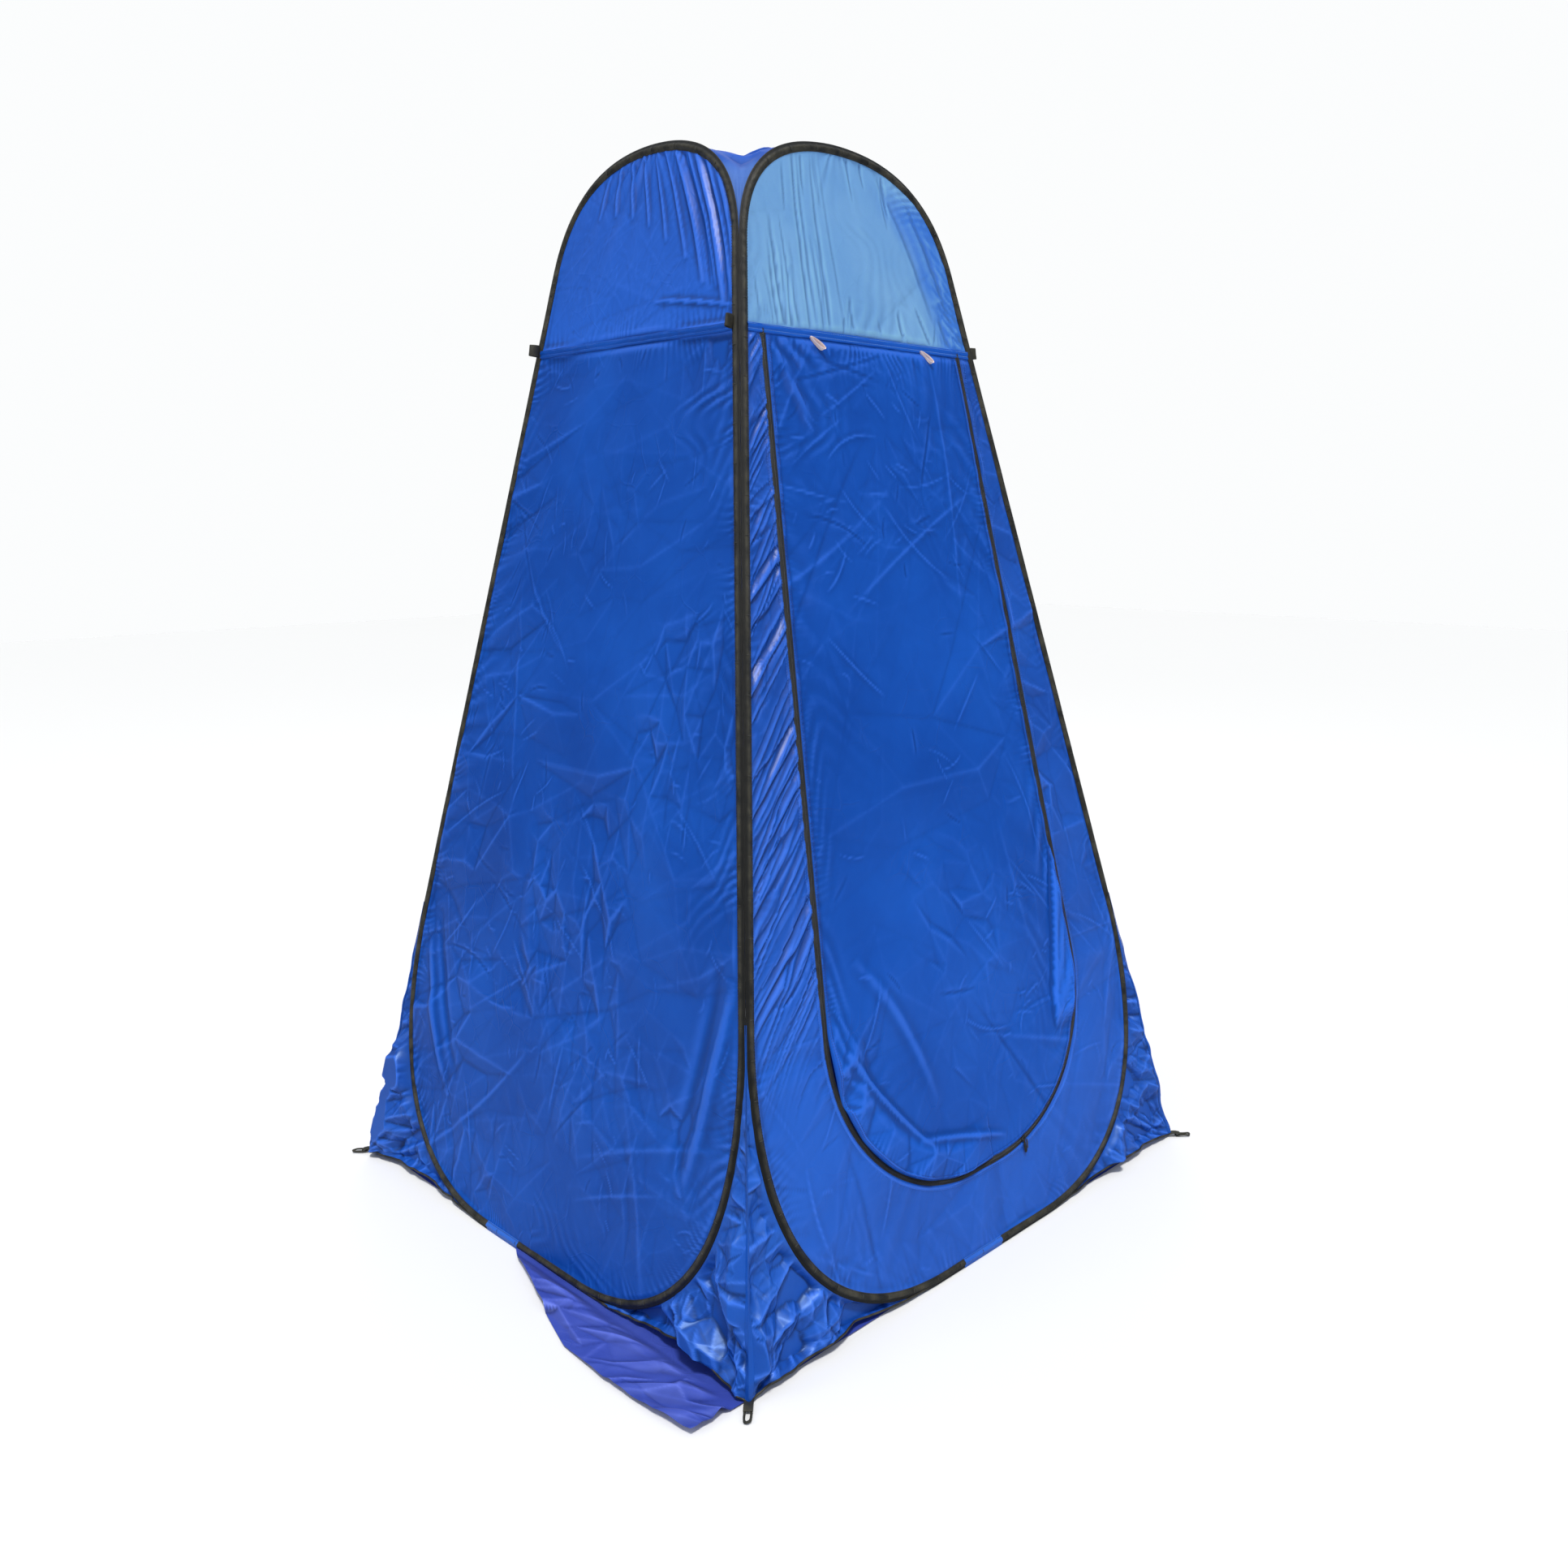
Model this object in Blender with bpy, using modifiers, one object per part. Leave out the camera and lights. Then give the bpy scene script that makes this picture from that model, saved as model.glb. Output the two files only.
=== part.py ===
# Pop-up privacy shower tent: four spring-steel hoop panels that lean in to a
# small roof, a zipped door flap, a loose groundsheet and webbing loops.
# Row frame: origin on the ground under the centre, +Z up, door panel towards -Y,
# left panel towards -X. All lengths are in metres.
# Each panel has its own frame: u across it (to the right seen from outside),
# v up its slope from the ground, w outwards.
import bpy
import bmesh
import math
from mathutils import Matrix, Vector

NAME = "privacy_shower_tent"

# ------------------------------------------------------------ panels and hoops
HALF_BASE = 0.600          # half the 1.2 m square base
LEAN = math.radians(11.32)  # every panel leans inwards by this much
SIN, COS = math.sin(LEAN), math.cos(LEAN)
SIDE_TURN = {"front": 0.0, "left": -90.0, "right": 90.0, "back": 180.0}  # degrees about Z

HOOP_TOP = 1.937           # hoop height measured up the slope
JOIN_LOW = 0.559           # hoops start to touch the corner seam here
JOIN_HIGH = 1.755          # and leave it again here
LOW_FLAT = 0.145           # half length of the straight run on the ground
LOW_PULL = 0.390           # u of the lower curve's ground handle
LOW_RISE = 0.400           # reach of the lower curve's seam handle
TOP_RISE = 0.118           # reach of the top curve's seam handle
TOP_PULL = 0.153           # u of the top curve's crown handle
LOW_STEPS = 9
TOP_STEPS = 8

SLEEVE_HALF_W = 0.0070     # binding sleeve, across the fabric
SLEEVE_HALF_T = 0.0035     # binding sleeve, through the fabric
SLEEVE_WALL = 0.0010
SEAM_GAP = 0.0040          # sleeve edge to the corner seam line
WIRE_R = 0.0015            # 3 mm spring steel
FERRULE_R_IN = 0.00185
FERRULE_R_OUT = 0.00235
FERRULE_LEN = 0.040
FERRULE_SIDES = 12
PATCH_HALF = 0.050         # half length of the sleeve patch over the ferrule
PATCH_AT = {"front": -0.040, "left": -0.090, "right": -0.065, "back": -0.065}  # u

FABRIC_T = 0.0015          # fabric thickness
GAP = 0.0004               # clearance between sewn neighbours
SEAM_V = 1.6165            # horizontal seam between upper and lower panel
SKIRT_MIN = 0.003          # skirts stop where they get narrower than this

HINGE_V = 0.8              # height up the slope of the panel hinge origins
FOLD_INSET = 0.0062        # the front left hinge lies this far inside the seam

# ------------------------------------------------------------ door and zip
ZIP_FLAT = 0.040           # half length of the zip's straight bottom run
ZIP_BOTTOM = 0.158         # height of the bottom run up the slope
ZIP_TOP = SEAM_V - GAP
ZIP_LEG_LOW = (0.335, 0.50)   # a point on the right leg
ZIP_LEG_TOP = (0.238, 1.60)   # a point on the right leg
ZIP_STEPS = 9              # segments in each lower corner arc
TAPE_W = 0.012
DOOR_FIRST = 1.300         # first fold line of the door flap
DOOR_FOLDS = 5             # folding sections below it
FOLD_AXIS_W = 0.0012       # fold axes lie this far off the mid plane

SLIDER_ANGLE = math.radians(14.0)   # from the bottom of the right-hand arc
SLIDER_L = 0.013
SLIDER_W = 0.009
SLIDER_T = 0.0030
SLIDER_LIFT = 0.0011       # mid plane of the fabric to the slider's underside
SLIDER_BEVEL = 0.0008
PULL_LIFT = 0.0012         # slider top to the mid plane of the pull
PULL_T = 0.0012
PULL_AXIS_V = 0.0020       # pull's hinge, above the slider centre
PULL_TOP_V = 0.0025        # straight top edge of both pull pieces
TAB_U = -0.0015            # the pull's wide tab, sideways from the slider centre
STRIP_U = 0.0050           # the narrow strip beside it
HOLE_R = 0.0018
HOLE_V = -0.0035           # centre of the tab's hole, from its top edge

TOGGLE_U = {"left": -0.1240, "right": 0.1450}
TOGGLE_V = 1.6120
TOGGLE_AXIS_W = 0.0016
RIBBON_W = 0.0017
RIBBON_T = 0.0010
# (u, v) from the toggle's place
RIBBON_OUTLINE = [(-0.0040, 0.0), (0.0120, -0.0150), (0.0120, -0.0190),
                  (0.0065, -0.0190), (-0.0120, 0.0)]

# ------------------------------------------------------------ roof and sheet
ROOF_DROP = 0.0008         # roof cloth below the sleeves' inner faces
ROOF_COLS = 4              # segments from one hoop to the next
ROOF_SAG = 0.010
ROOF_SAG_SPAN = 0.3        # spans shorter than this sag less
ROOF_CENTRE_DIP = 0.002

SHEET_T = 0.0018
SHEET_HALF_Y = 0.590
SHEET_X = (-0.715, 0.485)

# ------------------------------------------------------------ webbing loops
GUY_V = 1.622
GUY_FROM_SEAM = 0.0115     # loop centre to the corner seam line
GUY_WIDTH = 0.022
# (u, w): along the panel and out from it
GUY_OUTLINE = [(-0.0060, 0.0), (0.0060, 0.0), (0.0060, 0.0050),
               (0.0012, 0.0180), (-0.0012, 0.0180), (-0.0060, 0.0050)]
GUY_HOLE = [(-0.0040, 0.0018), (0.0040, 0.0018), (0.0040, 0.0050),
            (0.0, 0.0145), (-0.0040, 0.0050)]
# corner, panel it is sewn to, which end of that panel along u
GUY_LOOPS = (("front_left", "left", 1), ("back_left", "left", -1),
             ("front_right", "right", -1), ("back_right", "right", 1))

PEG_Z = 0.0034
PEG_T = 0.0016
# (x, y): out along the corner's diagonal and across it
PEG_OUTLINE = [(0.006, -0.0025), (0.014, -0.0080), (0.044, -0.0080), (0.048, -0.0040),
               (0.048, 0.0040), (0.044, 0.0080), (0.014, 0.0080), (0.006, 0.0025)]
PEG_HOLE = [(0.016, -0.0055), (0.043, -0.0055), (0.0455, -0.0030),
            (0.0455, 0.0030), (0.043, 0.0055), (0.016, 0.0055)]
# corner, panel it is sewn to, sign of x, sign of y
PEG_LOOPS = (("front_left", "front", -1, -1), ("front_right", "right", 1, -1),
             ("back_left", "left", -1, 1), ("back_right", "back", 1, 1))

# ------------------------------------------------------------ finishes
BLUE = (0.022, 0.085, 0.52)
PALE = (0.18, 0.42, 0.74)
DARK = (0.035, 0.037, 0.033)
VIOLET = (0.045, 0.040, 0.42)
STEEL = (0.45, 0.45, 0.46)
PINK = (0.72, 0.58, 0.60)

PANEL_CLOTH = dict(colour=BLUE, roughness=0.45)
PALE_CLOTH = dict(colour=PALE, roughness=0.45)
SKIRT_CLOTH = dict(colour=BLUE, roughness=0.40)
ROOF_CLOTH = dict(colour=BLUE, roughness=0.35)
SHEET_CLOTH = dict(colour=VIOLET, roughness=0.45)
SLEEVE_CLOTH = dict(colour=DARK, roughness=0.75)
WEBBING = dict(colour=DARK, roughness=0.7)
ZIP_TAPE = dict(colour=DARK, roughness=0.6)
ZIP_HARDWARE = dict(colour=DARK, roughness=0.4)
RIBBON = dict(colour=PINK, roughness=0.7)
WIRE_STEEL = dict(colour=STEEL, roughness=0.35, metallic=1.0)
FERRULE_STEEL = dict(colour=STEEL, roughness=0.40, metallic=1.0)


def material(name, colour, roughness, metallic=0.0):
    mat = bpy.data.materials.new(name)
    mat.use_nodes = True
    shader = mat.node_tree.nodes["Principled BSDF"]
    shader.inputs["Base Color"].default_value = (*colour, 1.0)
    shader.inputs["Roughness"].default_value = roughness
    shader.inputs["Metallic"].default_value = metallic
    mat.diffuse_color = (*colour, 1.0)
    return mat


# ------------------------------------------------------------ clean scene
for old in list(bpy.data.objects):
    bpy.data.objects.remove(old, do_unlink=True)
parts = bpy.data.collections.new(NAME)
bpy.context.scene.collection.children.link(parts)


# ------------------------------------------------------------ frames
def panel_matrix(side):
    """The (u, v, w) frame of one of the four sides."""
    base = Matrix(((1, 0, 0, 0), (0, SIN, -COS, -HALF_BASE),
                   (0, COS, SIN, 0), (0, 0, 0, 1)))
    return Matrix.Rotation(math.radians(SIDE_TURN[side]), 4, "Z") @ base


def world(side, u, v, w=0.0):
    return panel_matrix(side) @ Vector((u, v, w))


def shift(x, y, z=0.0):
    return Matrix.Translation((x, y, z))


def seam_directions():
    """Unit vectors (u, v) up a panel's right-hand seam line and square out from it."""
    along = Vector((-SIN, 1.0)).normalized()
    return along, Vector((along.y, -along.x))


def seam_point(sign_x, sign_y, v, inset=0.0):
    """A point on a corner seam line, moved inwards along the bisector."""
    run = HALF_BASE - v * SIN
    point = Vector((sign_x * run, sign_y * run, v * COS))
    along = Vector((-sign_x * SIN, -sign_y * SIN, COS)).normalized()
    inward = Vector((-sign_x, -sign_y, 0.0)).normalized()
    inward = (inward - along * inward.dot(along)).normalized()
    return point + inward * inset


# ------------------------------------------------------------ polylines
def mirrored(points):
    """The same path on the other side of u = 0, run the other way."""
    return [(-u, v) for u, v in reversed(points)]


def bezier(start, start_handle, end_handle, end, steps):
    controls = (start, start_handle, end_handle, end)
    out = []
    for i in range(steps + 1):
        t = i / steps
        weights = ((1 - t) ** 3, 3 * t * (1 - t) ** 2, 3 * t * t * (1 - t), t ** 3)
        out.append((sum(weight * point[0] for weight, point in zip(weights, controls)),
                    sum(weight * point[1] for weight, point in zip(weights, controls))))
    return out


def normals(points, closed):
    """Mitred left-hand normals of a polyline."""
    count = len(points)
    out = []
    for i, point in enumerate(points):
        here = Vector(point)
        directions = []
        if closed or i > 0:
            directions.append((here - Vector(points[(i - 1) % count])).normalized())
        if closed or i < count - 1:
            directions.append((Vector(points[(i + 1) % count]) - here).normalized())
        mean = sum(directions, Vector((0, 0))).normalized()
        normal = Vector((-mean.y, mean.x))
        first = Vector((-directions[0].y, directions[0].x))
        out.append(normal / max(0.3, normal.dot(first)))   # the floor limits sharp mitres
    return out


def offset(points, distance, closed=True):
    """Shift a polyline to its left-hand side."""
    return [(point[0] + normal.x * distance, point[1] + normal.y * distance)
            for point, normal in zip(points, normals(points, closed))]


def clip(outline, level, keep_below):
    """Cut a convex outline at a height up the slope."""
    def kept(point):
        return point[1] <= level if keep_below else point[1] >= level

    cut = []
    for i, point in enumerate(outline):
        following = outline[(i + 1) % len(outline)]
        if kept(point):
            cut.append(point)
        if kept(point) != kept(following):
            t = (level - point[1]) / (following[1] - point[1])
            cut.append((point[0] + (following[0] - point[0]) * t, level))
    clean = []
    for point in cut:
        if not clean or math.dist(point, clean[-1]) > 1e-6:
            clean.append(point)
    if math.dist(clean[0], clean[-1]) < 1e-6:
        clean.pop()
    return clean


def trim_ends(path, level):
    """Slide both ends of an open path along their segments to one height."""
    path = list(path)
    for end, neighbour in ((0, 1), (-1, -2)):
        (u, v), (next_u, next_v) = path[end], path[neighbour]
        t = (level - v) / (next_v - v)
        path[end] = (u + (next_u - u) * t, level)
    return path


# ------------------------------------------------------------ outlines
def hoop_outline():
    """Outer limit of a hoop panel, counter-clockwise from the ground run."""
    up, _ = seam_directions()
    low = Vector((HALF_BASE - JOIN_LOW * SIN, JOIN_LOW))
    high = Vector((HALF_BASE - JOIN_HIGH * SIN, JOIN_HIGH))
    right = bezier((LOW_FLAT, 0.0), (LOW_PULL, 0.0), low - up * LOW_RISE, low, LOW_STEPS)
    right += bezier(high, high + up * TOP_RISE, (TOP_PULL, HOOP_TOP), (0.0, HOOP_TOP),
                    TOP_STEPS)
    return right + mirrored(right[:-1])


def zip_path():
    """Centre line of the zip, clockwise from the right leg's top round to the
    left's, with the centre and radius of its right-hand corner arc."""
    leg_low, leg_top = Vector(ZIP_LEG_LOW), Vector(ZIP_LEG_TOP)
    along = (leg_top - leg_low).normalized()
    out = Vector((along.y, -along.x))
    # the arc touches both the leg and the bottom run
    radius = (out.dot(leg_low) - out.x * ZIP_FLAT - out.y * ZIP_BOTTOM) / (1.0 + out.y)
    centre = Vector((ZIP_FLAT, ZIP_BOTTOM + radius))
    foot = centre + out * radius
    half = [tuple(foot + along * ((ZIP_TOP - foot.y) / along.y))]
    tilt = math.atan2(out.y, out.x)
    for i in range(ZIP_STEPS + 1):
        angle = tilt + (-math.pi / 2 - tilt) * i / ZIP_STEPS
        half.append((centre.x + radius * math.cos(angle),
                     centre.y + radius * math.sin(angle)))
    return half + mirrored(half), centre, radius


HOOP_CENTRE = offset(hoop_outline(), SEAM_GAP + SLEEVE_HALF_W)
HOOP_INNER = offset(HOOP_CENTRE, SLEEVE_HALF_W + GAP)
HOOP_OUTER = offset(HOOP_CENTRE, -(SLEEVE_HALF_W + GAP))
GROUND_RUN_V = HOOP_CENTRE[0][1]
ZIP, ZIP_CENTRE, ZIP_RADIUS = zip_path()


def beside_zip(distance, top=ZIP_TOP):
    """The zip line moved outwards, away from the door, and ended at one height."""
    return trim_ends(offset(ZIP, distance, closed=False), top)


def skirt_outline():
    """Right-hand corner fabric between hoop, corner seam line and ground."""
    _, out = seam_directions()
    reach = out.dot(Vector((HALF_BASE, 0.0))) - SEAM_GAP
    ground = SEAM_GAP
    arc = [(u, v) for u, v in HOOP_OUTER[:LOW_STEPS + 1]
           if reach - out.dot(Vector((u, v))) > SKIRT_MIN and v - ground > SKIRT_MIN]
    last = Vector(arc[-1])
    on_seam = last + out * (reach - out.dot(last))
    corner = ((reach - out.y * ground) / out.x, ground)
    return [(arc[0][0], ground), corner, tuple(on_seam)] + list(reversed(arc))


# ------------------------------------------------------------ bodies (empties)
bodies = {}


def hang_on(obj, owner):
    """Parent an object to a body without moving it."""
    obj.parent = bodies[owner]
    obj.matrix_parent_inverse = Matrix.Translation(-bodies[owner].location)


def body(name, location, parent=None):
    """An empty on the body's joint; the body's pieces are its children."""
    empty = bpy.data.objects.new(name + "_axis", None)
    empty.location = location
    empty.hide_render = True
    parts.objects.link(empty)
    if parent:
        hang_on(empty, parent)
    bodies[name] = empty


def build_panel_bodies():
    body("front_panel", (0, 0, 0))
    body("left_panel", seam_point(-1, -1, HINGE_V, FOLD_INSET), "front_panel")
    body("right_panel", seam_point(1, -1, HINGE_V), "front_panel")
    body("back_panel", seam_point(-1, 1, HINGE_V), "left_panel")
    body("groundsheet", (0, 0, 0), "front_panel")


def door_owner(section):
    """Body of a door section; section 1 stays fixed to the front panel."""
    return "front_panel" if section == 1 else "door_%d" % section


def build_door_bodies(fold_lines):
    """Fold axes lie in turn outside and inside the fabric."""
    for k, level in enumerate(fold_lines):
        axis_w = FOLD_AXIS_W if k % 2 == 0 else -FOLD_AXIS_W
        body(door_owner(k + 2), world("front", 0, level, axis_w), door_owner(k + 1))


# ------------------------------------------------------------ piece makers
def add_object(name, data, matrix):
    obj = bpy.data.objects.new(name, data)
    parts.objects.link(obj)
    obj.matrix_world = matrix
    return obj


def mesh_object(name, bm, matrix):
    mesh = bpy.data.meshes.new(name)
    bm.to_mesh(mesh)
    bm.free()
    return add_object(name, mesh, matrix)


def place(obj, finish, owner):
    """Give a piece its material and hang it on its body."""
    obj.data.materials.append(material(obj.name + "_mat", **finish))
    hang_on(obj, owner)


def polygon_curve(name, dimensions, rings):
    """A curve of closed straight-sided rings in its local XY plane."""
    curve = bpy.data.curves.new(name, "CURVE")
    curve.dimensions = dimensions
    curve.resolution_u = 1
    curve.render_resolution_u = 0
    for ring in rings:
        spline = curve.splines.new("POLY")
        spline.points.add(len(ring) - 1)
        for point, (x, y) in zip(spline.points, ring):
            point.co = (x, y, 0.0, 1.0)
        spline.use_cyclic_u = True
    return curve


def plate(name, outline, matrix, thickness, holes=()):
    """A flat piece: a filled 2D outline with a thickness."""
    curve = polygon_curve(name, "2D", (outline, *holes))
    curve.fill_mode = "BOTH"
    curve.extrude = thickness / 2
    return add_object(name, curve, matrix)


def wire_loop(name, points, matrix, radius):
    curve = polygon_curve(name, "3D", [points])
    curve.bevel_depth = radius
    curve.bevel_resolution = 1
    curve.use_fill_caps = True
    curve.twist_mode = "Z_UP"
    return add_object(name, curve, matrix)


def sleeve_along(name, points, matrix):
    """A flattened hollow sleeve: an open-ended rectangular skin with Solidify."""
    bm = bmesh.new()
    rings = []
    for point, normal in zip(points, normals(points, closed=False)):
        rings.append([bm.verts.new((point[0] + normal.x * across * SLEEVE_HALF_W,
                                    point[1] + normal.y * across * SLEEVE_HALF_W,
                                    through * SLEEVE_HALF_T))
                      for across, through in ((1, 1), (-1, 1), (-1, -1), (1, -1))])
    for ring, following in zip(rings, rings[1:]):
        for i in range(4):
            j = (i + 1) % 4
            bm.faces.new((ring[i], ring[j], following[j], following[i]))
    bmesh.ops.recalc_face_normals(bm, faces=bm.faces)
    obj = mesh_object(name, bm, matrix)
    skin = obj.modifiers.new("wall", "SOLIDIFY")
    skin.thickness = SLEEVE_WALL
    skin.offset = -1.0
    skin.use_even_offset = True
    skin.use_rim = True
    return obj


def ring_tube(name, matrix, inner, outer, length, sides):
    """A short round tube, turned with a Screw modifier about local Z."""
    bm = bmesh.new()
    half = length / 2
    profile = [(outer, half), (outer, -half), (inner, -half), (inner, half)]
    verts = [bm.verts.new((x, 0.0, z)) for x, z in profile]
    for i in range(4):
        bm.edges.new((verts[i], verts[(i + 1) % 4]))
    obj = mesh_object(name, bm, matrix)
    screw = obj.modifiers.new("turn", "SCREW")
    screw.steps = sides
    screw.render_steps = sides
    screw.use_merge_vertices = True
    screw.merge_threshold = 0.00001
    return obj


# ------------------------------------------------------------ the four hoop panels
def build_hoop(side):
    """Wire, the ferrule over its joint, the binding sleeve and its patch."""
    owner = side + "_panel"
    frame = panel_matrix(side)
    patch_u = PATCH_AT[side]
    place(wire_loop(side + "_hoop_wire", HOOP_CENTRE, frame, WIRE_R), WIRE_STEEL, owner)

    along_u = Matrix.Rotation(math.radians(90), 4, "Y")
    ferrule = ring_tube(side + "_hoop_ferrule", frame @ shift(patch_u, GROUND_RUN_V) @ along_u,
                        FERRULE_R_IN, FERRULE_R_OUT, FERRULE_LEN, FERRULE_SIDES)
    place(ferrule, FERRULE_STEEL, owner)

    start = (patch_u + PATCH_HALF, GROUND_RUN_V)
    end = (patch_u - PATCH_HALF, GROUND_RUN_V)
    sleeve = sleeve_along(side + "_hoop_sleeve", [start] + HOOP_CENTRE + [end], frame)
    place(sleeve, SLEEVE_CLOTH, owner)

    half = PATCH_HALF - GAP
    patch_line = [(patch_u - half, GROUND_RUN_V), (patch_u + half, GROUND_RUN_V)]
    place(sleeve_along(side + "_sleeve_patch", patch_line, frame), PANEL_CLOTH, owner)


def door_surround_outline(lower, level):
    """The lower panel's outline with the door and zip tape cut out of its top."""
    first = next(i for i, (u, v) in enumerate(lower) if v == level and u < 0)
    return lower[first:] + lower[:first] + beside_zip(TAPE_W + GAP, level)


def build_panel_fabric(side):
    owner = side + "_panel"
    frame = panel_matrix(side)
    upper = clip(HOOP_INNER, SEAM_V + GAP / 2, keep_below=False)
    place(plate(side + "_upper_panel", upper, frame, FABRIC_T),
          PALE_CLOTH if side == "front" else PANEL_CLOTH, owner)

    lower_top = SEAM_V - GAP / 2
    lower = clip(HOOP_INNER, lower_top, keep_below=True)
    lower_name = side + "_lower_panel"
    if side == "front":
        lower = door_surround_outline(lower, lower_top)
        lower_name = "front_door_surround"
    place(plate(lower_name, lower, frame, FABRIC_T), PANEL_CLOTH, owner)

    skirt = skirt_outline()
    for word, outline in (("left", mirrored(skirt)), ("right", skirt)):
        place(plate("%s_skirt_%s" % (side, word), outline, frame, FABRIC_T),
              SKIRT_CLOTH, owner)


# ------------------------------------------------------------ door flap and zip
def build_zip_tape():
    outline = beside_zip(TAPE_W) + list(reversed(beside_zip(GAP)))
    place(plate("zip_tape", outline, panel_matrix("front"), FABRIC_T),
          ZIP_TAPE, "front_panel")


def build_door(fold_lines):
    """The flap inside the zip, cut at the fold lines and numbered from the top."""
    flap = list(reversed(beside_zip(-GAP)))
    for k in range(DOOR_FOLDS + 1):
        outline = flap
        if k > 0:
            outline = clip(outline, fold_lines[k - 1] - GAP, keep_below=True)
        if k < DOOR_FOLDS:
            outline = clip(outline, fold_lines[k] + GAP, keep_below=False)
        section = plate("door_section_%d" % (k + 1), outline, panel_matrix("front"), FABRIC_T)
        place(section, PANEL_CLOTH, door_owner(k + 1))


def slider_frame():
    """Slider centre, beyond the zip line on the right-hand arc; x along the zip."""
    return (panel_matrix("front") @ shift(ZIP_CENTRE.x, ZIP_CENTRE.y)
            @ Matrix.Rotation(SLIDER_ANGLE, 4, "Z")
            @ shift(0.0, -(ZIP_RADIUS + GAP + SLIDER_W / 2)))


def build_slider():
    """The slider's body sits at the arc centre, so turning it runs it along the zip."""
    body("zip_slider", world("front", ZIP_CENTRE.x, ZIP_CENTRE.y), "front_panel")
    bm = bmesh.new()
    bmesh.ops.create_cube(bm, size=1.0)
    bmesh.ops.scale(bm, vec=(SLIDER_L, SLIDER_W, SLIDER_T), verts=bm.verts)
    bmesh.ops.bevel(bm, geom=list(bm.edges), offset=SLIDER_BEVEL, segments=1, affect="EDGES")
    slider = mesh_object("zip_slider", bm,
                         slider_frame() @ shift(0, 0, SLIDER_LIFT + SLIDER_T / 2))
    place(slider, ZIP_HARDWARE, "zip_slider")


def tongue(length, width, nose):
    """Flat pull outline hanging down from its top edge to a rounded nose."""
    half = width / 2
    tip = [(half * math.sin(angle), -length + nose - nose * math.cos(angle))
           for angle in map(math.radians, range(-75, 90, 30))]
    return [(-half, 0.0)] + tip + [(half, 0.0)]


def build_pull():
    """A wide tab with a hole and a narrow strip, both hanging straight down."""
    hang = slider_frame() @ Matrix.Rotation(-SLIDER_ANGLE, 4, "Z")
    pull_w = SLIDER_LIFT + SLIDER_T + PULL_LIFT
    body("zip_pull", hang @ Vector((0.0, PULL_AXIS_V, pull_w)), "zip_slider")
    hole = [(HOLE_R * math.cos(angle), HOLE_V + HOLE_R * math.sin(angle))
            for angle in map(math.radians, range(0, 360, 60))]
    tab_outline = tongue(length=0.024, width=0.0085, nose=0.003)
    strip_outline = tongue(length=0.018, width=0.0030, nose=0.0012)
    for name, outline, u, holes in (("zip_pull_tab", tab_outline, TAB_U, [hole]),
                                    ("zip_pull_strip", strip_outline, STRIP_U, [])):
        piece = plate(name, outline, hang @ shift(u, PULL_TOP_V, pull_w), PULL_T, holes)
        place(piece, ZIP_HARDWARE, "zip_pull")


def build_toggles():
    """Two ribbon loops that tie the rolled door up."""
    for word, u in TOGGLE_U.items():
        body("toggle_" + word, world("front", u, TOGGLE_V, TOGGLE_AXIS_W), "front_panel")
        ribbon = plate("toggle_%s_loop" % word, RIBBON_OUTLINE,
                       panel_matrix("front") @ shift(u, TOGGLE_V, RIBBON_W), RIBBON_T)
        place(ribbon, RIBBON, "toggle_" + word)


# ------------------------------------------------------------ roof
def build_roof():
    """Sagging cloth: a gore across each corner and a fan closing the middle."""
    bm = bmesh.new()
    welded = {}

    def vert(point):
        """Reuse the vertex where two gores meet."""
        key = tuple(round(c, 6) for c in point)
        if key not in welded:
            welded[key] = bm.verts.new(point)
        return welded[key]

    roof_w = -(SLEEVE_HALF_T + ROOF_DROP)
    first = LOW_STEPS + 1
    crown = HOOP_CENTRE[first:first + 2 * TOP_STEPS + 1]   # right join, over, left join
    around = ("front", "right", "back", "left")
    rim = []
    for k in range(4):
        here, there = around[k], around[(k + 1) % 4]
        grid = []
        for i in range(TOP_STEPS + 1):
            start = world(here, *crown[i], roof_w)
            end = world(there, *crown[-1 - i], roof_w)
            sag = ROOF_SAG * min(1.0, (end - start).length / ROOF_SAG_SPAN)
            row = []
            for j in range(ROOF_COLS + 1):
                t = j / ROOF_COLS
                point = start.lerp(end, t)
                point.z -= sag * 4 * t * (1 - t)
                row.append(vert(point))
            grid.append(row)
        for row, following in zip(grid, grid[1:]):
            for j in range(ROOF_COLS):
                bm.faces.new((row[j], row[j + 1], following[j + 1], following[j]))
        rim += grid[-1][:-1]
    middle_z = sum(v.co.z for v in rim) / len(rim) - ROOF_CENTRE_DIP
    middle = vert(Vector((0, 0, middle_z)))
    for i, rim_vert in enumerate(rim):
        bm.faces.new((rim_vert, rim[(i + 1) % len(rim)], middle))
    # the cloth thickens away from its normals, so they have to point up
    bmesh.ops.recalc_face_normals(bm, faces=bm.faces)
    if middle.normal.z < 0 or bm.faces[:][-1].normal.z < 0:
        bmesh.ops.reverse_faces(bm, faces=bm.faces)
    roof = mesh_object("roof_panel", bm, Matrix.Identity(4))
    skin = roof.modifiers.new("cloth", "SOLIDIFY")
    skin.thickness = FABRIC_T
    skin.offset = -1.0
    skin.use_even_offset = False
    place(roof, ROOF_CLOTH, "front_panel")


# ------------------------------------------------------------ groundsheet and loops
def build_groundsheet():
    left, right = SHEET_X
    outline = [(left, -SHEET_HALF_Y), (right, -SHEET_HALF_Y),
               (right, SHEET_HALF_Y), (left, SHEET_HALF_Y)]
    place(plate("groundsheet", outline, shift(0, 0, SHEET_T / 2), SHEET_T),
          SHEET_CLOTH, "groundsheet")


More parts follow.
